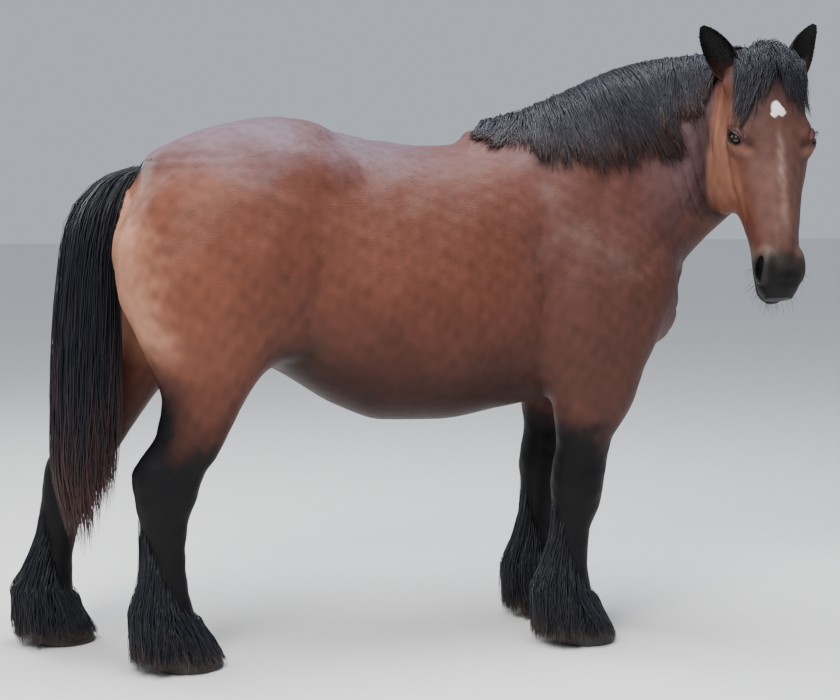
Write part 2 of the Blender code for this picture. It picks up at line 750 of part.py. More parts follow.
def fix_facing(target):
    body = bmesh.new()
    body.from_mesh(target.data)
    bmesh.ops.recalc_face_normals(body, faces=body.faces)
    body.to_mesh(target.data)
    body.free()
    return target


def hoof(name, leg, side_points=18):
    """A hoof: an oval at the coronet that widens and slopes forward to the ground."""
    z = HOOF_HEIGHT - GAP
    back, front, middle, half = (float(np.interp(HOOF_HEIGHT, *line))
                                 for line in (leg.back, leg.front, leg.middle, leg.half))
    length = front - back
    # Height, back and front as shares of the coronet's length, half width as a share of its own
    rings = ((0.0, -0.06, 1.25, 1.19), (0.006, -0.08, 1.28, HOOF_FLARE), (0.030, -0.05, 1.18, 1.15),
             (0.062, 0.0, 1.04, 1.05), (z, 0.02, 0.98, 0.97))
    points = []
    for height, first, last, wide in rings:
        low, high = back + first * length, back + last * length
        for i in range(side_points):
            turn = 2 * math.pi * i / side_points
            points.append(((low + high) / 2 + (high - low) / 2 * math.cos(turn),
                           leg.sign * (middle + half * wide * math.sin(turn)), height))
    return fix_facing(add_object(name, points, ring_faces(len(rings), side_points), "horn"))


def ball(name, lump, finish="coat", around=14, rows=9):
    """The surface of a lump, with its poles across it."""
    def spot(tilt, angle):
        local = np.array([math.sin(tilt) * math.cos(angle), math.cos(tilt), math.sin(tilt) * math.sin(angle)])
        return lump.centre + (local * lump.radii) @ lump.axes

    points = [spot(0, 0)]
    points += [spot(math.pi * row / rows, 2 * math.pi * i / around)
               for row in range(1, rows) for i in range(around)]
    points.append(spot(math.pi, 0))
    end = len(points) - 1
    last = end - around
    faces = [(0, 1 + i, 1 + (i + 1) % around) for i in range(around)]
    faces += [(end, last + (i + 1) % around, last + i) for i in range(around)]
    faces += [(1 + r * around + i, 1 + (r + 1) * around + i, 1 + (r + 1) * around + (i + 1) % around,
               1 + r * around + (i + 1) % around) for r in range(rows - 2) for i in range(around)]
    return fix_facing(add_object(name, points, faces, finish))


# Ears, in the head's own directions: base, tip and the way that the cup opens
EARS = {
    "ear_right": ((0.058, -0.074, -0.092), (-0.086, -0.010, -0.210), (0.10, 0.80, -0.60)),
    "ear_left": ((0.052, -0.074, 0.088), (-0.100, -0.010, 0.142), (0.10, 0.85, 0.30)),
}
# Along an ear: (share, half width, depth of the cup, half angle of its wall in degrees)
EAR = (
    (-0.15, 0.027, 0.023, 150),
    (0.06, 0.034, 0.028, 142),
    (0.24, 0.042, 0.032, 122),
    (0.42, 0.045, 0.031, 104),
    (0.60, 0.041, 0.026, 92),
    (0.77, 0.032, 0.020, 86),
    (0.91, 0.020, 0.013, 82),
    (1.00, 0.008, 0.007, 80),
)
EAR_WALL = 0.0055


def mouth_cutter(form):
    """A thin blade round the muzzle that parts the lips."""
    rim, ways = mouth_rim(form)
    brow = np.array(head_axes()[1])
    points = []
    for i, (spot, way) in enumerate(zip(rim, ways)):
        deep = MOUTH_DEPTH * (0.35 if i in (0, len(rim) - 1) else 1)
        points += [spot - way * deep, spot + brow * MOUTH_GAPE, spot + way * deep, spot - brow * MOUTH_GAPE]
    return fix_facing(add_object("mouth", points, ring_faces(len(rim), 4), "coat"))


def ear(name, arc=7):
    """A cupped leaf with an outer and an inner wall."""
    base, tip, opening = (np.array(v, float) for v in EARS[name])
    axes = np.array(head_axes())
    foot, top = head_world(*base), head_world(*tip)
    along = top - foot
    open_way = opening @ axes
    open_way -= along * (open_way @ along) / (along @ along)
    open_way /= np.linalg.norm(open_way)
    across = np.cross(along / np.linalg.norm(along), open_way)
    points = []
    for share, half, depth, spread in EAR:
        centre = foot + along * share - open_way * 0.012 * math.sin(math.pi * max(share, 0))
        angles = np.radians(np.linspace(-spread, spread, arc))
        wall = min(EAR_WALL, half * 0.4)
        for turns, inset in ((angles, 0), (angles[::-1], wall)):
            for turn in turns:
                points.append(centre + across * (half - inset) * math.sin(turn)
                              - open_way * (depth - inset) * math.cos(turn))
    return fix_facing(add_object(name, points, ring_faces(len(EAR), 2 * arc), "black_hair"))


def tube(name, line, radii, around, finish):
    """A round tapered bar along a line of points."""
    line = np.array(line, float)
    ways = np.gradient(line, axis=0)
    points = []
    for centre, way, (wide, deep) in zip(line, ways, radii):
        way = way / np.linalg.norm(way)
        side = np.array([0, 1.0, 0])
        up = np.cross(way, side)
        up /= np.linalg.norm(up)
        for i in range(around):
            turn = 2 * math.pi * i / around
            points.append(centre + side * wide * math.cos(turn) + up * deep * math.sin(turn))
    return fix_facing(add_object(name, points, ring_faces(len(line), around), finish))


def march(form, start, way, length, steps, lift):
    """A line over the surface: way(point, share) leads it and lift(share, point) is its height."""
    place = np.array(start, float)[None]
    line, ups = [], []
    for step in range(steps + 1):
        share = step / steps
        for _ in range(3):
            slope = form.slope(place)[0]
            up = slope / np.linalg.norm(slope)
            off = form(place)[0] / max(np.linalg.norm(slope), 0.4)
            place = place + up * np.clip(lift(share, place[0]) - off, -0.03, 0.03)
        line.append(place[0])
        ups.append(up)
        lead = np.array(way(place[0], share), float)
        lead -= up * (lead @ up)
        place = place + lead / np.linalg.norm(lead) * length / steps
    return np.array(line), np.array(ups)


def lock(line, ups, half, thick, twist=0.0):
    """A flat tapered lock along a line: points and faces with a blunt root and a pointed tip."""
    ways = np.gradient(line, axis=0)
    count = len(line)
    points = []
    for i, (centre, way, up) in enumerate(zip(line[:-1], ways, ups)):
        share = i / (count - 1)
        way = way / np.linalg.norm(way)
        side = np.cross(way, up)
        side /= np.linalg.norm(side)
        out = np.cross(side, way)
        turn = twist * share
        side, out = side * math.cos(turn) + out * math.sin(turn), out * math.cos(turn) - side * math.sin(turn)
        wide = half * (0.75 + 0.9 * share - 1.1 * share ** 2)
        deep = thick / 2 * (1 - 0.55 * share)
        points += [centre + side * wide, centre + out * deep, centre - side * wide, centre - out * deep]
    points.append(line[-1])
    rings = count - 1
    faces = [(4 * r + i, 4 * r + (i + 1) % 4, 4 * r + 4 + (i + 1) % 4, 4 * r + 4 + i)
             for r in range(rings - 1) for i in range(4)]
    end = 4 * (rings - 1)
    faces += [(end + i, end + (i + 1) % 4, len(points) - 1) for i in range(4)]
    faces.append((3, 2, 1, 0))
    return points, faces


def in_triangles(target):
    """Cuts the faces into triangles and drops pairs that lie back to back on the same three points."""
    body = bmesh.new()
    body.from_mesh(target.data)
    bmesh.ops.dissolve_verts(body, verts=[vert for vert in body.verts if len(vert.link_edges) == 2])
    bmesh.ops.triangulate(body, faces=body.faces)
    found = {}
    for face in body.faces:
        found.setdefault(frozenset(face.verts), []).append(face)
    flaps = [face for faces in found.values() if len(faces) == 2 for face in faces]
    bmesh.ops.delete(body, geom=flaps, context="FACES_ONLY")
    bmesh.ops.delete(body, geom=[edge for edge in body.edges if not edge.link_faces], context="EDGES")
    bmesh.ops.delete(body, geom=[vert for vert in body.verts if not vert.link_faces], context="VERTS")
    body.to_mesh(target.data)
    body.free()
    return target


def joined(target, locks):
    """A copy of the object with the locks joined to it in one step, and no closed-in pocket."""
    made = copy_of(target, "joined")
    group = bpy.data.collections.new("locks")
    pieces = []
    for points, faces in locks:
        piece = in_triangles(fix_facing(add_object("lock", points, faces, "black_hair")))
        bpy.context.scene.collection.objects.unlink(piece)
        group.objects.link(piece)
        pieces.append(piece)
    bpy.context.scene.collection.children.link(group)
    step = made.modifiers.new("hair", "BOOLEAN")
    step.operation = "UNION"
    step.operand_type = "COLLECTION"
    step.collection = group
    step.solver = "MANIFOLD"
    apply(made)
    remove(*pieces)
    bpy.data.collections.remove(group)
    return largest_piece(made)


def fuse(target, locks, neighbours=()):
    """Joins locks to the object and cuts it clear of its neighbours."""
    made = in_triangles(joined(target, locks))
    for neighbour in neighbours:
        in_triangles(clear_of(made, neighbour, gap=4 * GAP))
    target.data = made.data
    remove(made)
    return target


# Locks: how many, half width, thickness, and steps along each
MANE_LOCKS, MANE_HALF, MANE_THICK, MANE_STEPS = 13, 0.050, 0.014, 5
FORELOCK_LOCKS, FORELOCK_HALF, FORELOCK_THICK, FORELOCK_STEPS = 4, 0.026, 0.011, 4
FEATHER_LOCKS, FEATHER_HALF, FEATHER_THICK, FEATHER_STEPS = 7, 0.050, 0.014, 4
TAIL_LOCKS, TAIL_HALF, TAIL_THICK, TAIL_STEPS = 10, 0.058, 0.030, 6
CREST_LOCKS = 2
# How deep a root is sunk, and how high a lock is carried over a neighbour
ROOT_DEPTH, CLEAR_LIFT, CUT_MARGIN = 0.012, 0.004, 0.06

# The mane along the neck: (share, length of hair, lean toward the head as it falls)
MANE = (
    (0.06, 0.13, -0.60),
    (0.14, 0.22, -0.35),
    (0.24, 0.32, 0.00),
    (0.36, 0.40, 0.30),
    (0.50, 0.42, 0.38),
    (0.62, 0.36, 0.30),
    (0.74, 0.26, 0.15),
    (0.86, 0.19, 0.02),
    (0.97, 0.13, -0.05),
)
# The tail from root to tip: (x, y, z, half width, half depth)
TAIL = (
    (-0.655, 0.000, 1.470, 0.040, 0.038),
    (-0.722, -0.004, 1.440, 0.052, 0.052),
    (-0.782, -0.010, 1.350, 0.066, 0.068),
    (-0.812, -0.016, 1.210, 0.078, 0.082),
    (-0.824, -0.022, 1.040, 0.088, 0.102),
    (-0.832, -0.026, 0.860, 0.094, 0.112),
    (-0.840, -0.028, 0.690, 0.096, 0.114),
    (-0.850, -0.030, 0.530, 0.090, 0.110),
    (-0.842, -0.030, 0.390, 0.074, 0.090),
    (-0.838, -0.030, 0.220, 0.045, 0.048),
)
DOCK_SHARE = 0.42
HAIR_SEED = 8


def mane_locks(form, neck, rng, shares, home, count, steps):
    """Locks from the crest that fall over the right side of the neck."""
    made = []
    shares_at = column(MANE, 0)
    for i in range(count):
        share = shares[0] + (shares[1] - shares[0]) * (i + rng.uniform(0.2, 0.8)) / count
        reach = float(spline(shares_at, column(MANE, 1), share)) * rng.uniform(0.86, 1.1)
        lean = float(spline(shares_at, column(MANE, 2), share)) + rng.uniform(-0.1, 0.1)
        top = float(np.interp(share, *neck.top))
        start = neck.point(share, rng.uniform(-0.012, 0.014), top)
        hx, hy = (float(np.interp(share, neck.share, neck.heading[:, k])) for k in (0, 1))
        layer = rng.uniform(0.2, 0.75) * MANE_THICK

        def way(place, along):
            aside = 1.4 * (1 - along) ** 2
            return lean * hx + aside * hy, lean * hy - aside * hx, -0.9 if along else -0.1

        def lift(along, place):
            if along == 0:
                return -ROOT_DEPTH
            return layer if home(place) > CUT_MARGIN else MANE_THICK / 2 + CLEAR_LIFT

        line, ups = march(form, start, way, reach + 0.03, steps, lift)
        made.append(lock(line, ups, MANE_HALF * rng.uniform(0.85, 1.15), MANE_THICK,
                         rng.uniform(-0.3, 0.3)))
    return made


def forelock_locks(form, rng):
    """Locks from the poll that spread over the forehead."""
    axes = np.array(head_axes())
    made = []
    for i in range(FORELOCK_LOCKS):
        spread = -1 + 2 * (i + rng.uniform(0.3, 0.7)) / FORELOCK_LOCKS
        start = head_world(rng.uniform(-0.020, 0.010), -0.012, 0.046 * spread)
        reach = rng.uniform(0.22, 0.27) - 0.03 * abs(spread)
        layer = rng.uniform(0.2, 0.6) * FORELOCK_THICK

        def way(place, along):
            return np.array([1.0, 0.3 if along < 0.2 else 0, 0.36 * spread]) @ axes

        def lift(along, place):
            return -0.010 if along == 0 else layer

        line, ups = march(form, start, way, reach, FORELOCK_STEPS, lift)
        made.append(lock(line, ups, FORELOCK_HALF * rng.uniform(0.85, 1.15), FORELOCK_THICK,
                         rng.uniform(-0.2, 0.2)))
    return made


def with_hoof(stations):
    """Leg stations carried on down the wall of the hoof."""
    _, _, back, front, middle, half = stations[-1]
    length = front - back
    return stations + (("hoof wall", 0.030, back - 0.06 * length, front + 0.19 * length, middle, half * 1.16),
                       ("ground", 0.0, back - 0.08 * length, front + 0.28 * length, middle, half * 1.22))


def feather_fall(stations, mirror, angle, heights, full):
    """A line of hair down a leg: it hangs free of whatever is narrower below it.

    The angle round the leg is 0 at the front, and full is how far the hair stands off at each height.
    """
    leg = Leg(with_hoof(stations), mirror)
    back, front, middle, half = (np.interp(heights, *line)
                                 for line in (leg.back, leg.front, leg.middle, leg.half))
    ahead = math.cos(angle)
    reach = (front - back) / 2 + full
    x = (back + front) / 2 + reach * ahead
    x = np.minimum.accumulate(x) if ahead < 0 else np.maximum.accumulate(x)
    wide = np.maximum.accumulate((half + full) * abs(math.sin(angle)))
    y = leg.sign * (middle + math.copysign(1, math.sin(angle)) * wide)
    out = np.array([ahead, leg.sign * math.sin(angle), 0.0])
    return np.stack([x, y, heights], 1), np.tile(out, (len(heights), 1))


def feather_locks(stations, mirror, rng):
    """Locks from the back and sides of the cannon that fall over the hoof."""
    made = []
    for i in range(FEATHER_LOCKS):
        angle = 2 * math.pi * (i + rng.uniform(0.35, 0.65)) / FEATHER_LOCKS
        backward = (1 - math.cos(angle)) / 2
        high = 0.135 + backward * rng.uniform(0.10, 0.26)
        low = rng.uniform(0.006, 0.020) + 0.020 * (1 - backward)
        heights = np.linspace(high, low, FEATHER_STEPS + 1)
        puff = (0.012 + 0.040 * backward ** 1.4) * rng.uniform(0.8, 1.15)
        drop = np.clip((0.36 - heights) / 0.22, 0, 1)
        full = FEATHER_THICK / 2 + CLEAR_LIFT + puff * drop
        full[0] = -ROOT_DEPTH
        line, ups = feather_fall(stations, mirror, angle, heights, full)
        made.append(lock(line, ups, FEATHER_HALF * rng.uniform(0.85, 1.15), FEATHER_THICK,
                         rng.uniform(-0.3, 0.3)))
    return made


def tail_line(share, index):
    knots = np.linspace(0, 1, len(TAIL))
    return spline(knots, column(TAIL, index), share)


def tail_locks(body, rng):
    """Locks from the dock that follow the fall of the tail."""
    made = []
    for i in range(TAIL_LOCKS):
        turn = 2 * math.pi * (i * 0.618 % 1)
        root = DOCK_SHARE * (i + 0.5) / TAIL_LOCKS * 0.96
        tip = 1.0 - rng.uniform(0.0, 0.22) - (0.12 if math.cos(turn) > 0.5 else 0)
        spread = rng.uniform(0.55, 0.92)
        shares = np.linspace(root, tip, TAIL_STEPS + 1)
        fan = np.clip((shares - root) / 0.18, 0, 1)
        reach = 0.35 + (spread - 0.35) * fan
        x, y, z, wide, deep = (tail_line(shares, index) for index in range(5))
        swing = turn + 0.5 * (shares - root) * rng.uniform(-1, 1)
        radial = np.stack([np.cos(swing), np.sin(swing), np.zeros(len(shares))], 1)
        line = np.stack([x, y, z], 1) + radial * np.stack([deep, wide, deep], 1) * reach[:, None]
        for _ in range(3):
            slope = body.slope(line)
            slope /= np.maximum(np.linalg.norm(slope, axis=1), 0.3)[:, None]
            lack = np.clip(TAIL_THICK / 2 + 0.008 - body(line), 0, 0.05)
            line += slope * lack[:, None]
        made.append(lock(line, radial, TAIL_HALF * rng.uniform(0.8, 1.2), TAIL_THICK,
                         rng.uniform(-0.5, 0.5)))
    return made


def dock():
    """The solid root of the tail."""
    shares = np.linspace(0, DOCK_SHARE, 7)
    line = np.stack([tail_line(shares, index) for index in range(3)], 1)
    line[0] += (0.05, 0, 0.01)
    widths = tail_line(shares, 3) * 0.75 * (1 - 0.45 * shares / DOCK_SHARE)
    depths = tail_line(shares, 4) * 0.80 * (1 - 0.45 * shares / DOCK_SHARE)
    return tube("tail", line, list(zip(widths, depths)), 12, "black_hair")


def clear_scene():
    remove(*list(bpy.data.objects))


SIDES = (("right", -1), ("left", 1))
LEGS = {
    "fore": (FORE, FORE, FORE_REACH, FORE_TOP),
    "hind": (HIND_NEAR, HIND_FAR, HIND_REACH, HIND_TOP),
}


def leg_of(pair, side):
    """The form of one leg. Stations of a hind leg are given for its own side."""
    near, far, _, _ = LEGS[pair]
    if side < 0:
        return near, False
    return far, pair == "fore"


def parted_body():
    """The body as nodes, with thin gaps between them."""
    steps = horse_steps()
    beyond, short_of = Ahead(0.035), Ahead(-0.035)
    head = form_object("head", Form(steps + [(keep, short_of, 0.02)]),
                       (0.85, -0.80, 1.0), (1.45, 0.15, 1.95), 0.005, HEAD_TRIANGLES)
    torso = form_object("torso", Form(steps + [(carve, beyond, 0.02)]),
                        (-1.15, -0.45, 0.0), (1.30, 0.45, 1.95), 0.011, BODY_TRIANGLES)
    point, normal = (Vector(v) for v in HEAD_BASE)
    normal.normalize()
    ahead = half_space(point + normal * GAP / 2, normal)
    boolean(head, ahead, "INTERSECT")
    beside = half_space(point - normal * GAP / 2, normal, 0.40)
    boolean(torso, beside, "DIFFERENCE")
    remove(ahead, beside)
    nodes = {"head": largest_piece(head)}
    cutters = [mouth_cutter(Form(steps))]
    cutters += [ball("opening", lump) for lump in eye_openings() + nostrils()]
    for cutter in cutters:
        boolean(head, cutter, "DIFFERENCE")
    remove(*cutters)
    for pair, (_, _, reach, top) in LEGS.items():
        for side_name, side in SIDES:
            name = f"{pair}leg_{side_name}"
            low, high = (reach[0], min(0, side), -0.1), (reach[1], max(0, side), top)
            leg = take_box(torso, low, high, f"{name}_lower")
            lower, upper = split(leg, (0, 0, CANNON_TOP), (0, 0, 1), f"{name}_upper")
            floor = half_space((0, 0, HOOF_HEIGHT), (0, 0, 1))
            boolean(lower, floor, "INTERSECT")
            remove(floor)
            nodes[lower.name], nodes[upper.name] = lower, upper
            nodes[f"hoof_{pair}_{side_name}"] = hoof(f"hoof_{pair}_{side_name}", Leg(*leg_of(pair, side)))
    torso, neck = split(torso, *NECK_BASE, "neck")
    hind, torso_front = split(torso, (FLANK_CUT, 0, 0), (1, 0, 0), "barrel")
    hind.name, torso_front.name = "hindquarters", "torso"
    nodes.update(neck=neck, hindquarters=hind, torso=torso_front)
    return nodes


def add_face(nodes):
    """Eyes in their sockets, and ears on the head."""
    for side_name, side in SIDES:
        socket = ball("socket", eye_lump(side, EYE_RADIUS + GAP))
        boolean(nodes["head"], socket, "DIFFERENCE")
        remove(socket)
        largest_piece(nodes["head"])
        nodes[f"eye_{side_name}"] = ball(f"eye_{side_name}", eye_lump(side, EYE_RADIUS), "eye")
    for name in EARS:
        nodes[name] = clear_of(ear(name), nodes["head"])


def add_hair(nodes):
    """The locks of each part that carries long hair."""
    form = Form(horse_steps())
    neck = Neck()

    def neck_side(p):
        return min(plane_side(p, NECK_BASE), -plane_side(p, HEAD_BASE))

    def head_side(p):
        return plane_side(p, HEAD_BASE)

    rng = random.Random(HAIR_SEED)
    mane = mane_locks(form, neck, rng, (0.10, 0.80), neck_side, MANE_LOCKS, MANE_STEPS)
    fuse(nodes["neck"], mane, [nodes[name] for name in ("torso", "head")])
    crest = mane_locks(form, neck, rng, (0.86, 0.97), head_side, CREST_LOCKS, MANE_STEPS)
    fuse(nodes["head"], forelock_locks(form, rng) + crest,
         [nodes[name] for name in ("neck", "ear_left", "ear_right", "eye_left", "eye_right")])
    in_triangles(clear_of(nodes["neck"], nodes["head"], gap=2 * GAP))
    for pair in LEGS:
        for side_name, side in SIDES:
            fuse(nodes[f"{pair}leg_{side_name}_lower"], feather_locks(*leg_of(pair, side), rng),
                 [nodes[f"hoof_{pair}_{side_name}"]])
    nodes["tail"] = fuse(clear_of(dock(), nodes["hindquarters"]), tail_locks(form, rng),
                         [nodes["hindquarters"]])


def set_down(nodes):
    """Moves the horse so that the middle of its box stands on the origin, and shades it."""
    corners = np.array([vert.co for node in nodes.values() for vert in node.data.vertices])
    low, high = corners.min(0), corners.max(0)
    shift = Matrix.Translation((-(low[0] + high[0]) / 2, -(low[1] + high[1]) / 2, -low[2]))
    for name, node in nodes.items():
        node.name = name
        node.data.transform(shift)
        node.data.shade_smooth()
        node.data.set_sharp_from_angle(angle=math.radians(40))


def build():
    clear_scene()
    nodes = parted_body()
    add_face(nodes)
    add_hair(nodes)
    set_down(nodes)


if __name__ == "__main__":
    build()
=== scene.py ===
"""How the bay heavy horse looks: one skin with its markings, painted sheen and painted shade, short coat,
mane, forelock, tail and feather as solid tufts, wet eyes and dark hooves, on a pale floor in soft light.

The skin is the same smooth form as the solids, worked out more finely.
"""

import math

import bpy
import numpy as np
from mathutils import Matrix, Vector


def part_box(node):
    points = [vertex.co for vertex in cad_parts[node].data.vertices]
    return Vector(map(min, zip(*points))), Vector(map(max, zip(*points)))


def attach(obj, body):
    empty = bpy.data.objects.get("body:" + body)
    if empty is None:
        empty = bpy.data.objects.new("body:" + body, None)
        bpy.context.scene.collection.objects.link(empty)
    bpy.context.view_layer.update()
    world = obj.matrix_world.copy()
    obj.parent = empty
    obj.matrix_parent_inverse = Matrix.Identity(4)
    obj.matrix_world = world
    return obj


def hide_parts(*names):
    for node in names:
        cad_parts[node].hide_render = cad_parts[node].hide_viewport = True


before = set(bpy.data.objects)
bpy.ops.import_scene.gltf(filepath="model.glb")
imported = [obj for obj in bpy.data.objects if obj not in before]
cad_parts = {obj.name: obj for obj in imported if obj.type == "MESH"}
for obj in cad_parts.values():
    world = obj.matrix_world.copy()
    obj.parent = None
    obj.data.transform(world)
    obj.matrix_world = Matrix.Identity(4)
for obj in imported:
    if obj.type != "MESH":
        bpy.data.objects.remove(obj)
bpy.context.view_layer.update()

HEAD_LENGTH = 0.725
EYE_RADIUS = 0.0225
# The middle of the eye in the head, the way that it looks, the line of its slit and the way up from it,
# each as (down the face, out of the brow, to the side)
EYE_DOWN, EYE_BROW, EYE_ASIDE = 0.240, -0.048, 0.1075
EYE_LOOK, EYE_SLIT, EYE_UP = (0.0, 0.5, 0.866), (0.66, 0.651, -0.376), (-0.752, 0.571, -0.330)
# The line of the mouth: the middle that it turns round, and how many degrees it reaches to each side
MOUTH_MIDDLE = (0.625, -0.128, 0.0)
MOUTH_TURN = 118

# Torso stations along X: (place, x, top, bottom, half width, widest height as a share of the depth)
TORSO = (
    ("tail root", -0.70, 1.40, 1.16, 0.10, 0.50),
    ("pin bones", -0.64, 1.485, 1.04, 0.205, 0.50),
    ("croup", -0.48, 1.572, 0.93, 0.290, 0.55),
    ("hips", -0.29, 1.612, 0.862, 0.325, 0.58),
    ("loin", -0.08, 1.573, 0.738, 0.335, 0.50),
    ("last rib", 0.05, 1.547, 0.694, 0.352, 0.45),
    ("back", 0.22, 1.533, 0.690, 0.350, 0.44),
    ("withers", 0.42, 1.566, 0.720, 0.310, 0.42),
    ("elbow", 0.58, 1.575, 0.750, 0.270, 0.42),
    ("shoulder", 0.74, 1.48, 0.80, 0.250, 0.40),
    ("breast", 0.87, 1.34, 0.885, 0.215, 0.42),
    ("breast front", 0.965, 1.22, 0.97, 0.130, 0.45),
    ("breast end", 1.000, 1.14, 1.05, 0.050, 0.50),
)

# Near (right) hind leg, by height: (place, z, back x, front x, centre y, half width)
HIND_NEAR = (
    ("croup muscle", 1.46, -0.600, -0.24, -0.115, 0.120),
    ("hip joint", 1.35, -0.700, -0.17, -0.150, 0.168),
    ("thigh", 1.20, -0.755, -0.14, -0.172, 0.178),
    ("buttock", 1.09, -0.741, -0.165, -0.180, 0.168),
    ("stifle", 0.98, -0.697, -0.245, -0.190, 0.140),
    ("second thigh", 0.88, -0.655, -0.322, -0.193, 0.112),
    ("gaskin", 0.79, -0.625, -0.382, -0.193, 0.092),
    ("gaskin low", 0.70, -0.640, -0.427, -0.192, 0.076),
    ("hock top", 0.62, -0.694, -0.470, -0.191, 0.066),
    ("hock point", 0.575, -0.716, -0.503, -0.190, 0.066),
    ("hock", 0.50, -0.708, -0.528, -0.190, 0.064),
    ("hock base", 0.43, -0.694, -0.553, -0.190, 0.054),
    ("cannon", 0.33, -0.676, -0.562, -0.190, 0.043),
    ("cannon low", 0.24, -0.672, -0.556, -0.190, 0.043),
    ("fetlock", 0.17, -0.682, -0.540, -0.190, 0.056),
    ("pastern", 0.115, -0.642, -0.520, -0.190, 0.050),
    ("coronet", 0.075, -0.640, -0.495, -0.190, 0.064),
)

# Far (left) hind leg, set well back: same columns
HIND_FAR = (
    ("croup muscle", 1.46, -0.600, -0.24, 0.115, 0.120),
    ("hip joint", 1.35, -0.700, -0.17, 0.150, 0.168),
    ("thigh", 1.20, -0.755, -0.145, 0.172, 0.176),
    ("buttock", 1.09, -0.762, -0.20, 0.178, 0.164),
    ("stifle", 0.98, -0.765, -0.345, 0.186, 0.136),
    ("second thigh", 0.88, -0.785, -0.495, 0.188, 0.110),
    ("gaskin", 0.79, -0.818, -0.600, 0.188, 0.090),
    ("gaskin low", 0.70, -0.860, -0.668, 0.187, 0.075),
    ("hock top", 0.62, -0.918, -0.722, 0.186, 0.066),
    ("hock point", 0.565, -0.956, -0.760, 0.185, 0.066),
    ("hock", 0.49, -0.970, -0.800, 0.185, 0.064),
    ("hock base", 0.42, -0.975, -0.835, 0.185, 0.054),
    ("cannon", 0.33, -0.981, -0.868, 0.185, 0.043),
    ("cannon low", 0.24, -0.998, -0.882, 0.185, 0.043),
    ("fetlock", 0.17, -1.020, -0.882, 0.185, 0.056),
    ("pastern", 0.115, -0.990, -0.872, 0.185, 0.050),
    ("coronet", 0.075, -0.996, -0.855, 0.185, 0.064),
)

# Forelegs, both the same, by height: (place, z, back x, front x, centre y of the right leg, half width)
FORE = (
    ("shoulder blade", 1.42, 0.52, 0.76, -0.090, 0.060),
    ("shoulder", 1.28, 0.50, 0.86, -0.140, 0.100),
    ("point of shoulder", 1.10, 0.52, 0.940, -0.170, 0.125),
    ("upper arm", 0.95, 0.530, 0.893, -0.178, 0.118),
    ("elbow", 0.84, 0.542, 0.838, -0.180, 0.106),
    ("forearm", 0.76, 0.556, 0.803, -0.180, 0.096),
    ("forearm mid", 0.69, 0.566, 0.770, -0.178, 0.084),
    ("forearm low", 0.62, 0.572, 0.742, -0.176, 0.070),
    ("knee top", 0.56, 0.562, 0.732, -0.174, 0.068),
    ("knee", 0.50, 0.556, 0.724, -0.172, 0.070),
    ("knee base", 0.43, 0.562, 0.712, -0.171, 0.060),
    ("cannon", 0.35, 0.568, 0.682, -0.170, 0.047),
    ("cannon low", 0.25, 0.562, 0.676, -0.170, 0.045),
    ("fetlock", 0.17, 0.546, 0.688, -0.170, 0.058),
    ("pastern", 0.115, 0.590, 0.706, -0.170, 0.052),
    ("coronet", 0.075, 0.590, 0.728, -0.170, 0.066),
)

# Neck: a curve in plan, and stations along it: (place, share of the length, top, bottom, half width)
NECK_START = (0.36, 0.0)
NECK_END = (1.140, -0.250)
NECK_START_PULL = (1.10, 0.0)
NECK_END_PULL = (0.0, -0.62)
NECK = (
    ("withers", 0.00, 1.520, 1.02, 0.13),
    ("base", 0.14, 1.598, 1.00, 0.185),
    ("shoulder", 0.27, 1.674, 1.00, 0.205),
    ("breast", 0.40, 1.733, 1.02, 0.200),
    ("lower third", 0.53, 1.776, 1.02, 0.180),
    ("middle", 0.67, 1.800, 1.100, 0.158),
    ("throat", 0.84, 1.808, 1.260, 0.124),
    ("poll", 1.00, 1.800, 1.390, 0.098),
)

# Head: its poll, the way that it faces in plan, and how far its axis drops below the horizontal
POLL = (1.155, -0.402, 1.792)
HEAD_HEADING = math.radians(-93.0)
HEAD_DROP = math.radians(77.0)
# Stations down the face: (place, share of the length, brow side, jaw side, half width, roundness)
HEAD = (
    ("behind poll", -0.06, -0.050, -0.200, 0.078, 2.0),
    ("poll", 0.00, -0.012, -0.240, 0.092, 2.0),
    ("temple", 0.13, 0.006, -0.280, 0.112, 2.2),
    ("forehead", 0.24, 0.012, -0.305, 0.121, 2.3),
    ("eye", 0.34, 0.008, -0.318, 0.121, 2.2),
    ("cheek", 0.44, 0.000, -0.318, 0.111, 2.2),
    ("face", 0.54, -0.006, -0.272, 0.094, 2.2),
    ("bridge", 0.66, -0.012, -0.220, 0.077, 2.2),
    ("bars", 0.77, -0.014, -0.190, 0.067, 2.1),
    ("nostrils", 0.87, -0.010, -0.176, 0.068, 2.2),
    ("muzzle", 0.94, -0.024, -0.164, 0.057, 2.1),
    ("lips", 0.985, -0.052, -0.138, 0.040, 2.0),
)
# The cheek muscle: down the face, out of the brow line, to the side, and its radii
CHEEK = (0.285, -0.215, 0.088, (0.145, 0.042, 0.118))

# Roundness of the sections: 2 is an oval, and more is squarer
TORSO_ROUND, LEG_ROUND, NECK_ROUND = 2.15, 2.1, 1.85
# How far up the neck and the head are widest, as a share of their depth
NECK_WIDEST, HEAD_WIDEST = 0.36, 0.68


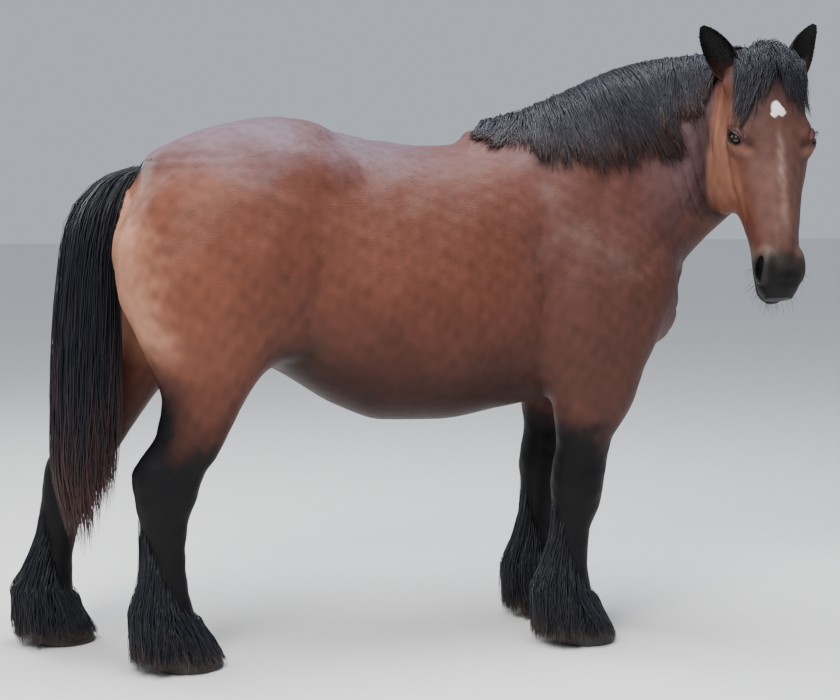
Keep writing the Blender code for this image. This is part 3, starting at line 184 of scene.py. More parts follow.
def spline(knots, values, at):
    """A smooth curve through the knots that doesn't overshoot: cubic pieces with limited slopes."""
    knots = np.asarray(knots, float)
    values = np.asarray(values, float)
    steps = np.diff(knots)
    rises = np.diff(values) / steps
    slopes = np.zeros(len(knots))
    slopes[0], slopes[-1] = rises[0], rises[-1]
    same_way = rises[:-1] * rises[1:] > 0
    before, after = steps[:-1], steps[1:]
    mean = (before + after) * 3 / ((2 * after + before) / np.where(same_way, rises[:-1], 1)
                                   + (after + 2 * before) / np.where(same_way, rises[1:], 1))
    slopes[1:-1] = np.where(same_way, mean, 0)
    at = np.clip(at, knots[0], knots[-1])
    piece = np.clip(np.searchsorted(knots, at, side="right") - 1, 0, len(steps) - 1)
    step = steps[piece]
    t = (at - knots[piece]) / step
    return ((1 + 2 * t) * (1 - t) ** 2 * values[piece] + t * (1 - t) ** 2 * step * slopes[piece]
            + t * t * (3 - 2 * t) * values[piece + 1] + t * t * (t - 1) * step * slopes[piece + 1])


def column(stations, index):
    """One column of a table of stations."""
    return [row[index] for row in stations]


def table(knots, values, count=240):
    """The smooth curve sampled finely, as a lookup for many points."""
    at = np.linspace(knots[0], knots[-1], count)
    return at, spline(knots, values, at)


def blend(first, second, reach):
    """The nearer of two forms, rounded where they meet."""
    share = np.clip(0.5 + 0.5 * (second - first) / reach, 0, 1)
    return second + (first - second) * share - reach * share * (1 - share)


def carve(form, hole, reach):
    """The form without the hole, with a rounded rim."""
    return -blend(-form, hole, reach)


def section(up, side, low, high, half, widest, power):
    """How far a point lies outside an oval that spans low to high and half to each side."""
    middle = low + (high - low) * widest
    radius = np.where(up > middle, high - middle, middle - low)
    spread = (np.abs((up - middle) / radius) ** power + np.abs(side / half) ** power) ** (1 / power)
    return (spread - 1) * np.minimum(radius, half)


def past_ends(along, first, last):
    """How far a place lies past the nearer end of a span: negative inside it."""
    return np.maximum(first - along, along - last)


def unit(v, least=1e-9):
    """Vectors brought to unit length, but for those shorter than the least."""
    return v / np.maximum(np.linalg.norm(v, axis=-1, keepdims=True), least)


def across_only(v, n):
    """Vectors without the part that runs along the unit vectors n."""
    return v - n * (v * n).sum(-1, keepdims=True)


class Torso:
    """The barrel, rump and breast, as sections across X."""

    low, high = (-0.75, -0.42, 0.60), (1.05, 0.42, 1.68)

    def __init__(self):
        knots = column(TORSO, 1)
        self.span = knots[0], knots[-1]
        self.top, self.bottom, self.half, self.widest = (
            table(knots, column(TORSO, index)) for index in (2, 3, 4, 5))

    def __call__(self, p):
        x, y, z = p.T
        value = section(z, y, np.interp(x, *self.bottom), np.interp(x, *self.top),
                        np.interp(x, *self.half), np.interp(x, *self.widest), TORSO_ROUND)
        return np.maximum(value, past_ends(x, *self.span))


class Leg:
    """A leg, as level sections at each height. A right leg can be mirrored to the left."""

    def __init__(self, stations, mirror=False):
        coronet = stations[-1]
        stations += ((coronet[0], coronet[1] - 0.03, *coronet[2:]),)
        rows = sorted(stations, key=lambda row: row[1])
        knots = column(rows, 1)
        self.sign = -1.0 if mirror else 1.0
        self.span = knots[0], knots[-1]
        self.back, self.front, self.middle, self.half = (
            table(knots, column(rows, index)) for index in (2, 3, 4, 5))
        backs, fronts = column(rows, 2), column(rows, 3)
        sides = [self.sign * (row[4] + s * row[5]) for row in rows for s in (-1, 1)]
        self.low = (min(backs), min(sides), knots[0])
        self.high = (max(fronts), max(sides), knots[-1])

    def __call__(self, p):
        x, y, z = p.T
        value = section(x, self.sign * y - np.interp(z, *self.middle), np.interp(z, *self.back),
                        np.interp(z, *self.front), np.interp(z, *self.half), 0.5, LEG_ROUND)
        return np.maximum(value, past_ends(z, *self.span))


class Neck:
    """The neck, as upright sections across a curve in plan."""

    samples = 120

    def __init__(self):
        start, end = np.array(NECK_START), np.array(NECK_END)
        pull_start, pull_end = np.array(NECK_START_PULL), np.array(NECK_END_PULL)
        t = np.linspace(0, 1, self.samples)[:, None]
        self.line = ((1 + 2 * t) * (1 - t) ** 2 * start + t * (1 - t) ** 2 * pull_start
                     + t * t * (3 - 2 * t) * end + t * t * (t - 1) * pull_end)
        steps = np.linalg.norm(np.diff(self.line, axis=0), axis=1)
        self.share = np.r_[0, np.cumsum(steps)] / steps.sum()
        self.length = steps.sum()
        self.heading = unit(np.gradient(self.line, axis=0))
        knots = column(NECK, 1)
        self.top, self.bottom, self.half = (table(knots, column(NECK, i)) for i in (2, 3, 4))
        self.low = (NECK_START[0], NECK_END[1] - 0.25, 0.9)
        self.high = (NECK_END[0] + 0.25, 0.26, 1.86)

    def place(self, p):
        """Share of the neck's length, and distance to its left, of points in plan."""
        share = np.empty(len(p))
        aside = np.empty(len(p))
        for first in range(0, len(p), 20000):
            part = slice(first, first + 20000)
            apart = p[part, None, :2] - self.line[None]
            near = (apart ** 2).sum(2).argmin(1)
            gap = apart[np.arange(len(near)), near]
            ahead = self.heading[near]
            along = (gap * ahead).sum(1)
            share[part] = self.share[near] + along / self.length
            aside[part] = ahead[:, 0] * gap[:, 1] - ahead[:, 1] * gap[:, 0]
        return share, aside

    def __call__(self, p):
        share, aside = self.place(p)
        value = section(p[:, 2], aside, np.interp(share, *self.bottom),
                        np.interp(share, *self.top), np.interp(share, *self.half),
                        NECK_WIDEST, NECK_ROUND)
        return np.maximum(value, past_ends(share, 0, 1) * self.length)


def head_axes():
    """Unit vectors down the face, out of the brow, and to the horse's left."""
    ahead = np.array([math.cos(HEAD_HEADING), math.sin(HEAD_HEADING), 0])
    up = np.array([0, 0, 1.0])
    down_face = math.cos(HEAD_DROP) * ahead - math.sin(HEAD_DROP) * up
    brow = math.sin(HEAD_DROP) * ahead + math.cos(HEAD_DROP) * up
    left = np.cross(up, ahead)
    return down_face, brow, left


def head_local(p):
    """Places in the head's own directions: down the face, out of the brow line and to the left."""
    return (p - np.array(POLL)) @ np.array(head_axes()).T


def head_world(down, brow, left):
    """The point so far down the face from the poll, out of the brow line and to the left."""
    return np.array(POLL) + np.array([down, brow, left]) @ np.array(head_axes())


def head_way(way, side=1):
    """A direction written for the left side of the head, turned to the side asked for."""
    return (np.array(way) * (1, 1, side)) @ np.array(head_axes())


class Head:
    """The skull, jaw and muzzle, as sections across the head's own axis."""

    def __init__(self):
        knots = [share * HEAD_LENGTH for share in column(HEAD, 1)]
        self.span = knots[0], knots[-1]
        self.brow, self.jaw, self.half, self.power = (
            table(knots, column(HEAD, index)) for index in (2, 3, 4, 5))
        ends = [head_world(a, n, side * 0.14) for a in (knots[0], knots[-1]) for n in (0.04, -0.32)
                for side in (-1, 1)]
        self.low, self.high = np.min(ends, axis=0), np.max(ends, axis=0)

    def __call__(self, p):
        down, brow, left = head_local(p).T
        value = section(brow, left, np.interp(down, *self.jaw), np.interp(down, *self.brow),
                        np.interp(down, *self.half), HEAD_WIDEST, np.interp(down, *self.power))
        return np.maximum(value, past_ends(down, *self.span))


class Lump:
    """An oval muscle or bone under the skin, with its long side along a direction."""

    def __init__(self, centre, radii, along=(0, 0, 1), across=(0, 1, 0)):
        self.centre = np.array(centre, float)
        self.radii = np.array(radii, float)
        first = np.array(along, float)
        first /= np.linalg.norm(first)
        second = np.array(across, float)
        second -= first * (second @ first)
        second /= np.linalg.norm(second)
        self.axes = np.array([first, second, np.cross(first, second)])
        reach = np.abs(self.axes.T * self.radii).sum(1)
        self.low, self.high = self.centre - reach, self.centre + reach

    def __call__(self, p):
        q = (p - self.centre) @ self.axes.T
        near = np.linalg.norm(q / self.radii, axis=1)
        steep = np.linalg.norm(q / self.radii ** 2, axis=1)
        return near * (near - 1) / np.maximum(steep, 1e-9)


def both_sides(centre, radii, along=(0, 0, 1), across=(0, 1, 0)):
    """The same lump on the right and the left."""
    flip = np.array([1, -1, 1])
    return [Lump(centre, radii, along, across),
            Lump(centre * flip, radii, np.array(along) * flip, np.array(across) * flip)]


def head_lump(down, brow, left, radii, along=(1, 0, 0), across=(0, 0, 1)):
    """A lump placed by the head's own directions, on one side of it."""
    return Lump(head_world(down, brow, left), radii, head_way(along), head_way(across))


def head_pair(down, brow, left, radii, along=(1, 0, 0), across=(0, 0, 1)):
    """The same lump on both sides of the head, written for the left."""
    flip = np.array([1, 1, -1])
    return [head_lump(down, brow, left, radii, along, across),
            head_lump(down, brow, -left, radii, np.array(along) * flip, np.array(across) * flip)]


def eye_spot(along, up, out):
    """A place by the left eye, in the head's directions: along its slit, up from it and out of it."""
    return tuple(np.array([EYE_DOWN, EYE_BROW, EYE_ASIDE]) + along * np.array(EYE_SLIT)
                 + up * np.array(EYE_UP) + out * np.array(EYE_LOOK))


class Form:
    """Forms joined or carved one after another. Each is worked out only near its own box."""

    margin = 0.13

    def __init__(self, steps):
        self.steps = steps

    def __call__(self, p):
        p = np.asarray(p, float)
        value = np.full(len(p), 1.0)
        for act, form, reach in self.steps:
            edge = max(self.margin, reach) if act is blend else reach + 0.01
            low, high = np.array(form.low) - edge, np.array(form.high) + edge
            near = np.flatnonzero(((p >= low) & (p <= high)).all(1))
            if len(near):
                value[near] = act(value[near], form(p[near]), reach)
        return value

    def slope(self, p, step=1e-3):
        """The direction straight out of the surface, not of unit length."""
        moves = step * np.eye(3)
        return np.stack([self(p + move) - self(p - move) for move in moves], 1) / (2 * step)


def body_steps():
    """Torso, neck and legs with the muscles that shape them."""
    steps = [(blend, Torso(), 0.02), (blend, Neck(), 0.09)]
    steps += [(blend, Leg(HIND_NEAR), 0.09), (blend, Leg(HIND_FAR), 0.09)]
    steps += [(blend, Leg(FORE), 0.05), (blend, Leg(FORE, mirror=True), 0.05)]
    muscles = (
        ((0.66, -0.215, 1.06), (0.20, 0.075, 0.12), (0.30, 0.06, 1)),       # triceps
        ((0.85, -0.160, 1.13), (0.09, 0.065, 0.08), (0.3, 0, 1)),           # point of shoulder
        ((0.885, -0.105, 1.04), (0.11, 0.080, 0.085), (-0.3, 0, 1)),        # breast muscle
        ((0.735, -0.212, 0.815), (0.12, 0.048, 0.060), (0.15, 0, 1)),       # forearm muscle
        ((0.585, -0.195, 0.875), (0.055, 0.045, 0.045), (0, 0, 1)),         # elbow
        ((-0.50, -0.225, 1.20), (0.27, 0.105, 0.17), (0.25, 0.1, 1)),       # haunch
        ((-0.275, -0.210, 1.03), (0.10, 0.055, 0.065), (-0.5, 0, 1)),       # stifle
        ((-0.195, -0.240, 1.450), (0.110, 0.046, 0.070), (1, 0.1, -0.1)),   # point of hip
        ((-0.38, -0.120, 1.512), (0.25, 0.105, 0.074), (1, 0, 0.16)),       # croup muscle
    )
    for centre, radii, along in muscles:
        steps += [(blend, lump, 0.06) for lump in both_sides(centre, radii, along)]
    return steps


def head_steps():
    """The head with its bones, lips and nostrils."""
    steps = [(blend, Head(), 0.035)]
    steps += [(blend, lump, 0.03) for lump in (
        head_pair(*CHEEK)
        + head_pair(EYE_DOWN, EYE_BROW, 0.103, (0.052, 0.028, 0.040), (1, 0, 0), EYE_LOOK)   # orbit
        + head_pair(0.070, -0.080, 0.084, (0.060, 0.042, 0.042), (1, -0.4, -0.8))       # root of the ear
        + [head_lump(0.38, -0.020, 0, (0.27, 0.034, 0.022))])]              # bridge of the nose
    steps += [(blend, lump, 0.015) for lump in (
        head_pair(0.380, -0.096, 0.094, (0.100, 0.010, 0.014), (1, -0.15, -0.22))   # facial crest
        + head_pair(0.618, -0.052, 0.050, (0.052, 0.026, 0.040), (1, -0.35, 0.1))   # wing of the nostril
        + [head_lump(0.668, -0.088, 0, (0.050, 0.050, 0.052)),                      # upper lip
           head_lump(0.672, -0.142, 0, (0.046, 0.043, 0.034)),                      # lower lip
           head_lump(0.640, -0.166, 0, (0.044, 0.038, 0.030))])]                    # chin
    steps += [(blend, lump, 0.010) for lump in (
        head_pair(*eye_spot(0.0, 0.0155, 0.0165), (0.031, 0.012, 0.010), EYE_SLIT, EYE_LOOK)    # upper lid
        + head_pair(*eye_spot(0.0, -0.0160, 0.0140), (0.028, 0.011, 0.009), EYE_SLIT, EYE_LOOK))]   # lower
    # The hollow above each eye
    steps += [(carve, lump, 0.012) for lump in head_pair(0.160, -0.030, 0.136, (0.050, 0.024, 0.030))]
    return steps


def eye_openings():
    """The slits between the lids."""
    return head_pair(*eye_spot(0.0, 0.0, 0.0245), (0.0275, 0.022, 0.0130), EYE_SLIT, EYE_LOOK)


def eye_lump(side, radius):
    """A ball where an eye sits: side -1 is the right one."""
    return head_lump(EYE_DOWN, EYE_BROW, side * EYE_ASIDE, (radius, radius, radius))


def nostrils():
    """The hollows of the nostrils."""
    return head_pair(0.628, -0.044, 0.066, (0.036, 0.022, 0.016), (1, -0.45, -0.2))


def surface_along(starts, ways, reach):
    """Where lines from inside the body leave it, found by halving their reach."""
    inner, outer = np.zeros(len(ways)), np.full(len(ways), reach)
    for _ in range(24):
        mid = (inner + outer) / 2
        inside = NAKED(starts + ways * mid[:, None]) < 0
        inner, outer = np.where(inside, mid, inner), np.where(inside, outer, mid)
    return starts + ways * inner[:, None]


def mouth_rim(count):
    """Points of the surface round the muzzle where the lips meet, from corner to corner."""
    turns = np.radians(np.linspace(-MOUTH_TURN, MOUTH_TURN, count))
    ways = np.stack([np.cos(turns), 0.05 * np.cos(turns), np.sin(turns)], 1) @ np.array(head_axes())
    return surface_along(head_world(*MOUTH_MIDDLE), ways, 0.16)


def outside_head_space(p):
    """Negative where a point belongs to the head: ahead of the head's cut and above the breast."""
    return np.maximum(-plane_side(p, HEAD_BASE), -plane_side(p, OVER_BREAST))


def plane_side(p, plane):
    """How far points lie in front of a plane."""
    point, normal = (np.array(v) for v in plane)
    return (np.array(p) - point) @ normal / np.linalg.norm(normal)


# The whole form, before its openings and creases
NAKED = Form(body_steps() + head_steps())


# The corners of a cell, and a number above any count of cells along one side
CORNERS = np.array([(i, j, k) for i in (0, 1) for j in (0, 1) for k in (0, 1)])
WIDE = 1 << 14


def near_cells(form, low, high, cell, levels, reach=2.6):
    """Whole-number places of the cells close to the surface, found by halving bigger ones."""
    size = cell * 2 ** levels
    counts = np.ceil((np.array(high) - low) / size).astype(int)
    cells = np.stack(np.meshgrid(*map(np.arange, counts), indexing="ij"), -1).reshape(-1, 3)
    for _ in range(levels):
        centres = low + (cells + 0.5) * size
        close = np.abs(form(centres)) < reach * 0.87 * size
        cells = (cells[close, None] * 2 + CORNERS).reshape(-1, 3)
        size /= 2
    return cells


def numbered(cells):
    """One whole number for each cell, in the order of its places."""
    return (cells[:, 0] * WIDE + cells[:, 1]) * WIDE + cells[:, 2]


def skin_mesh(form, low, high, cell, levels=2):
    """Points and four-sided faces of the form's surface: one point to a cell that it passes through."""
    low = np.array(low, float)
    cells = near_cells(form, low, high, cell, levels)
    spots = numbered((cells[:, None] + CORNERS).reshape(-1, 3))
    unique, back = np.unique(spots, return_inverse=True)
    places = np.stack([unique // WIDE // WIDE, unique // WIDE % WIDE, unique % WIDE], 1)
    values = form(low + places * cell)[back].reshape(-1, 8)
    inside = values < 0
    mixed = inside.any(1) & ~inside.all(1)
    cells, values, inside = cells[mixed], values[mixed], inside[mixed]
    total = np.zeros((len(cells), 3))
    count = np.zeros(len(cells))
    edges = [(i, i + step) for step in (4, 2, 1) for i in range(8) if not i & step]
    for start, end in edges:
        crossed = inside[:, start] != inside[:, end]
        share = values[:, start] / np.where(crossed, values[:, start] - values[:, end], 1)
        spot = CORNERS[start] + share[:, None] * (CORNERS[end] - CORNERS[start])
        total += np.where(crossed[:, None], spot, 0)
        count += crossed
    points = low + (cells + total / count[:, None]) * cell
    order = np.argsort(numbered(cells))
    keys = numbered(cells)[order]
    faces = []
    for axis in range(3):
        first, second = np.eye(3, dtype=int)[[(axis + 1) % 3, (axis + 2) % 3]]
        start, end = 0, (4, 2, 1)[axis]
        crossed = np.flatnonzero(inside[:, start] != inside[:, end])
        around = [cells[crossed] - move for move in (0 * first, first, first + second, second)]
        found = np.stack([order[np.searchsorted(keys, numbered(c)).clip(0, len(keys) - 1)]
                          for c in around], 1)
        whole = np.all([(cells[found[:, i]] == around[i]).all(1) for i in range(4)], axis=0)
        facing = inside[crossed, start]
        quads = np.where(facing[:, None], found, found[:, ::-1])
        faces.append(quads[whole])
    return points, np.concatenate(faces)


def settle(form, points, most=0.004):
    """Moves the points onto the surface itself, in three steps."""
    for _ in range(3):
        slope = form.slope(points)
        move = form(points)[:, None] * slope / np.maximum((slope ** 2).sum(1), 0.05)[:, None]
        size = np.linalg.norm(move, axis=1)[:, None]
        points = points - move * np.minimum(1, most / np.maximum(size, 1e-9))
    return points


# Where the head is parted from the neck, and the top of the breast: a point of each plane and its way
HEAD_BASE = ((1.045, -0.110, 1.52), (0.745, -0.667, 0.0))
OVER_BREAST = ((0.98, 0.0, 1.12), (0.85, 0.0, 0.53))

# Ears, in the head's own directions: base, tip and the way that the cup opens
EARS = {
    "ear_right": ((0.058, -0.074, -0.092), (-0.086, -0.010, -0.210), (0.10, 0.80, -0.60)),
    "ear_left": ((0.052, -0.074, 0.088), (-0.100, -0.010, 0.142), (0.10, 0.85, 0.30)),
}
# Along an ear: (share, half width, depth of the cup, half angle of its wall in degrees)
EAR = (
    (-0.15, 0.027, 0.023, 150),
    (0.06, 0.034, 0.028, 142),
    (0.24, 0.042, 0.032, 122),
    (0.42, 0.045, 0.031, 104),
    (0.60, 0.041, 0.026, 92),
    (0.77, 0.032, 0.020, 86),
    (0.91, 0.020, 0.013, 82),
    (1.00, 0.008, 0.007, 80),
)
EAR_WALL = 0.0055


# The mane along the neck: (share, length of hair, lean toward the head as it falls)
MANE = (
    (0.06, 0.13, -0.60),
    (0.14, 0.22, -0.35),
    (0.24, 0.32, 0.00),
    (0.36, 0.40, 0.30),
    (0.50, 0.42, 0.38),
    (0.62, 0.36, 0.30),
    (0.74, 0.26, 0.15),
    (0.86, 0.19, 0.02),
    (0.97, 0.13, -0.05),
)
# The tail from root to tip: (x, y, z, half width, half depth)
TAIL = (
    (-0.655, 0.000, 1.470, 0.040, 0.038),
    (-0.722, -0.004, 1.440, 0.052, 0.052),
    (-0.782, -0.010, 1.350, 0.066, 0.068),
    (-0.812, -0.016, 1.210, 0.078, 0.082),
    (-0.824, -0.022, 1.040, 0.088, 0.102),
    (-0.832, -0.026, 0.860, 0.094, 0.112),
    (-0.840, -0.028, 0.690, 0.096, 0.114),
    (-0.850, -0.030, 0.530, 0.090, 0.110),
    (-0.842, -0.030, 0.390, 0.074, 0.090),
    (-0.838, -0.030, 0.220, 0.045, 0.048),
)
DOCK_SHARE = 0.42


def with_hoof(stations):
    """Leg stations carried on down the wall of the hoof."""
    _, _, back, front, middle, half = stations[-1]
    long = front - back
    return stations + (("hoof wall", 0.030, back - 0.06 * long, front + 0.19 * long, middle, half * 1.16),
                       ("ground", 0.0, back - 0.08 * long, front + 0.28 * long, middle, half * 1.22))


def feather_fall(stations, mirror, angle, heights, full):
    """A line of hair down a leg: it hangs free of whatever is narrower below it.

    The angle round the leg is 0 at the front, and full is how far the hair stands off at each height.
    """
    leg = Leg(with_hoof(stations), mirror)
    back, front, middle, half = (np.interp(heights, *line)
                                 for line in (leg.back, leg.front, leg.middle, leg.half))
    ahead = math.cos(angle)
    reach = (front - back) / 2 + full
    x = (back + front) / 2 + reach * ahead
    x = np.minimum.accumulate(x) if ahead < 0 else np.maximum.accumulate(x)
    wide = np.maximum.accumulate((half + full) * abs(math.sin(angle)))
    y = leg.sign * (middle + math.copysign(1, math.sin(angle)) * wide)
    out = np.array([ahead, leg.sign * math.sin(angle), 0.0])
    return np.stack([x, y, heights], 1), np.tile(out, (len(heights), 1))


# Fineness of the skin: cells of the body and head, and how far two patches of it overlap
BODY_CELL, HEAD_CELL, PATCH_OVERLAP = ((0.0075, 0.004, 0.008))
# Corners of the boxes that hold the body and the head
BODY_BOX = ((-1.15, -0.45, 0.0), (1.30, 0.45, 1.95))
HEAD_BOX = ((0.85, -0.80, 1.0), (1.45, 0.15, 1.95))
# How far the skin lies inside the solids, and how close hair may come to the floor
COAT_DEPTH, FLOOR_GAP = 0.0015, 0.0015
# How far down the line of the face the lips begin
LIPS_DOWN = 0.655
# How thick hair is against its width, and how wide each tuft's place on the unwrap is
COAT_THICKNESS, HAIR_THICKNESS, TUFT_PATCH = 0.12, 0.35, 0.003


def smooth(start, end, value):
    """Nothing at the start, one at the end, and an even rise between them."""
    t = np.clip((value - start) / (end - start), 0, 1)
    return t * t * (3 - 2 * t)


def near(p, centre, radii):
    """One at the centre, fading to nothing past the radii."""
    return np.exp(-(((p - np.array(centre)) / np.array(radii)) ** 2).sum(1))


def waves(p, size, seed):
    """Smooth uneven noise from -1 to 1, about so large across."""
    steady = np.random.default_rng(seed)
    ways = steady.normal(size=(9, 3))
    ways *= (steady.uniform(0.6, 1.6, 9) / np.linalg.norm(ways, axis=1))[:, None]
    phases = steady.uniform(0, 2 * math.pi, 9)
    return np.sin(p @ ways.T * 2 * math.pi / size + phases).sum(1) / 3.4


class Groove:
    """A thin furrow along a line of points."""

    def __init__(self, line, radius):
        self.line, self.radius = np.array(line), radius
        self.low, self.high = self.line.min(0) - radius, self.line.max(0) + radius

    def __call__(self, p):
        best = np.full(len(p), 9.0)
        for start, end in zip(self.line[:-1], self.line[1:]):
            way = end - start
            along = np.clip((p - start) @ way / (way @ way), 0, 1)
            best = np.minimum(best, np.linalg.norm(p - start - along[:, None] * way, axis=1))
        return best - self.radius


def eye_arc(side, long, high, start, end, count=9):
    """Points on the skin along part of an oval round the eye, from its front corner over the top."""
    turns = np.radians(np.linspace(start, end, count))
    spots = [eye_spot(math.cos(turn) * long, math.sin(turn) * high, -0.02) for turn in turns]
    starts = np.array([head_world(down, brow, side * left) for down, brow, left in spots])
    return surface_along(starts, np.tile(head_way(EYE_LOOK, side), (count, 1)), 0.12)


def skin_steps():
    """The form with the openings of the eyes, nostrils and mouth, and the creases round the eyes."""
    # Each crease: its half length and half height, the angles that it spans, radius and soft rim
    creases = (((0.031, 0.021, 20, 165), 0.0016, 0.005), ((0.030, 0.020, 200, 330), 0.0012, 0.004),
               ((0.040, 0.034, 40, 150), 0.0010, 0.006))
    fine = [(carve, Groove(eye_arc(side, *arc), radius), rim)
            for side in (-1, 1) for arc, radius, rim in creases]
    fine.append((carve, Groove(mouth_rim(25), 0.0030), 0.006))
    fine += [(carve, lump, 0.007) for lump in nostrils()]
    fine += [(carve, lump, 0.0025) for lump in eye_openings()]
    return NAKED.steps + fine


HEAD_FORM = Head()
CHEEKS = head_pair(*CHEEK)


def beyond_head(p):
    """How far outside the head a point lies, with the cheeks counted as head."""
    return np.min([HEAD_FORM(p), *(cheek(p) + 0.012 for cheek in CHEEKS)], axis=0)


def headness(p):
    """One on the head itself, fading to nothing just behind its jaw."""
    muzzle = smooth(0.40, 0.46, head_local(p)[:, 0]) * smooth(0.02, -0.02, outside_head_space(p))
    return np.maximum(smooth(0.030, 0.004, beyond_head(p)), muzzle)


def patch(form, low, high, cell, wanted):
    """Points and faces of the skin where wanted(points) holds."""
    points, faces = skin_mesh(form, low, high, cell)
    faces = faces[wanted(points[faces].mean(1))]
    used, back = np.unique(faces, return_inverse=True)
    return settle(form, points[used]), back.reshape(faces.shape)


def finer(form, points, faces, wanted):
    """Parts each face where wanted(middles) holds into four, and lays the new points on the form."""
    chosen = wanted(points[faces].mean(1))
    rest, parted = faces[~chosen], faces[chosen]
    sides = np.sort(np.stack([parted, np.roll(parted, -1, 1)], 2).reshape(-1, 2), 1)
    unique, back = np.unique(sides, axis=0, return_inverse=True)
    middles = points[unique].mean(1)
    centres = points[parted].mean(1)
    fresh = settle(form, np.concatenate([middles, centres]), 0.002)
    side_at = len(points) + back.reshape(parted.shape)
    centre_at = len(points) + len(unique) + np.arange(len(parted))
    quads = [np.stack([parted[:, i], side_at[:, i], centre_at, side_at[:, (i + 3) % 4]], 1)
             for i in range(4)]
    return np.concatenate([points, fresh]), np.concatenate([rest, *quads])


def face_ways(points, faces):
    """The way that each four-sided face looks, with twice its area as length."""
    a, b, c, d = (points[faces[:, corner]] for corner in range(4))
    return np.cross(c - a, d - b)


def normals_of(points, faces):
    """Unit normals at the points of a mesh of four-sided faces."""
    ways = face_ways(points, faces)
    total = np.zeros_like(points)
    for corner in range(4):
        np.add.at(total, faces[:, corner], ways)
    return unit(total, 1e-12)


def tube_faces(rings, around, first=0):
    """Four-sided faces between neighbouring rings of points, numbered from the first."""
    return first + np.array([(r * around + i, r * around + (i + 1) % around,
                              (r + 1) * around + (i + 1) % around, (r + 1) * around + i)
                             for r in range(rings - 1) for i in range(around)])


NECK_FORM = Neck()


def relief(p, n):
    """How far the skin stands out of or sinks into the smooth form: folds, veins and unevenness."""
    share, aside = NECK_FORM.place(p)
    x, _, z = p.T
    lift = 0.0016 * waves(p, 0.16, 1) * smooth(0.55, 0.75, z) + 0.0007 * waves(p, 0.06, 2)
    lift *= 1 - 0.85 * smooth(-0.2, -0.7, n[:, 2])
    head = headness(p)
    # Folds where the neck turns toward the throat, on its right side
    fold = smooth(0.66, 0.76, share) * smooth(0.0, -0.05, aside) * smooth(1.66, 1.52, z) * (1 - head)
    run = share * NECK_FORM.length * 17 + (z - 1.5) * 8.5
    lift -= 0.0034 * fold * (0.5 + 0.5 * np.cos(2 * math.pi * run)) ** 6
    # The groove of the jugular vein
    vein = smooth(0.30, 0.45, share) * smooth(0.95, 0.8, share)
    depth = np.interp(share, *NECK_FORM.bottom) + 0.14
    lift -= 0.004 * vein * np.exp(-((z - depth) / 0.028) ** 2)
    # Ribs show faintly, and a line parts shoulder from barrel
    ribs = smooth(-0.12, 0.02, x) * smooth(0.42, 0.30, x) * smooth(0.85, 1.0, z) * smooth(1.42, 1.30, z)
    lift += 0.0012 * ribs * np.sin(2 * math.pi * (x + 0.12 * z) / 0.062)
    side = p[:, [0, 2]] + 0.012 * waves(p, 0.30, 14)[:, None]
    lift -= 0.009 * near(side, (0.500, 1.15), (0.030, 0.24)) * smooth(0.75, 0.9, z)
    lift -= 0.008 * near(side, (0.70, 1.32), (0.034, 0.13)) * (1 - head)
    lift += 0.006 * near(side, (0.615, 1.10), (0.070, 0.14)) * (1 - head)
    # The fold of the flank, and the valley between the haunch and the barrel
    bow = side[:, 0] + 0.190 + 0.16 * (side[:, 1] - 1.05) ** 2 - 0.10 * (side[:, 1] - 1.05)
    lift -= 0.012 * np.exp(-(bow / 0.034) ** 2) * smooth(0.86, 0.98, z) * smooth(1.46, 1.20, z)
    lift -= 0.005 * near(side, (-0.47, 1.02), (0.030, 0.20))
    # The haunch runs smoothly into the croup
    edge = 1.4845 + 0.035 * (x + 0.62)
    lift -= 0.0060 * np.exp(-((z - edge) / 0.013) ** 2) * smooth(-0.28, -0.40, x)
    lift[head > 0.5] *= 0.45
    return lift


# Linear colours
BAY_BRIGHT = np.array([0.165, 0.058, 0.034])
BAY = np.array([0.098, 0.033, 0.022])
BAY_DARK = np.array([0.030, 0.0105, 0.0080])
SHOULDER = np.array([0.080, 0.033, 0.026])
TAN = np.array([0.430, 0.205, 0.130])
PALE = np.array([0.190, 0.140, 0.110])
SHEEN = np.array([0.124, 0.112, 0.155])
BLACK = np.array([0.0025, 0.0027, 0.0035])
SKIN_BLACK = np.array([0.0050, 0.0045, 0.0045])
DUST = np.array([0.075, 0.052, 0.038])
RUST = np.array([0.045, 0.014, 0.008])
NOSE = np.array([0.102, 0.050, 0.040])
STREAK = np.array([0.300, 0.220, 0.190])
GREY_SKIN = np.array([0.022, 0.018, 0.016])
MANE_BLACK = np.array([0.0100, 0.0100, 0.0170])
# Black hair of the tail and feather, lifted and tinted blue as a painted sheen of the sky
BLACK_SKY_SHEEN = np.array([0.0055, 0.0065, 0.0110])
FLANK_GREY = np.array([0.050, 0.042, 0.030])
# Painted sheen of the shoulder: a mauve highlight colour
MAUVE_SHEEN = np.array([0.135, 0.080, 0.072])
WHITE = np.array([0.720, 0.680, 0.640])
IRIS = np.array([0.022, 0.009, 0.005])
IRIS_RIM = np.array([0.010, 0.005, 0.004])
PUPIL = np.array([0.0025, 0.0025, 0.003])
EYE_EDGE = np.array([0.014, 0.009, 0.008])


def mix(colour, other, share):
    """A colour moved toward another by a share."""
    return colour + (other - colour) * np.asarray(share)[..., None]


def covered(colour, *coats):
    """A colour with others laid over it in turn: each coat is a colour and how much it covers."""
    for shade, share in coats:
        colour = mix(colour, shade, share)
    return colour


def eye_oval(p):
    """How far points are from the nearer eye, one at its dark rim, and how high over its slit."""
    spot = head_local(p)
    spot[:, 2] = np.abs(spot[:, 2])
    spot -= (EYE_DOWN, EYE_BROW, EYE_ASIDE)
    along, up, out = (spot @ np.array(way) for way in (EYE_SLIT, EYE_UP, EYE_LOOK))
    return np.sqrt((along / 0.034) ** 2 + (up / 0.0195) ** 2 + (out / 0.060) ** 2), up


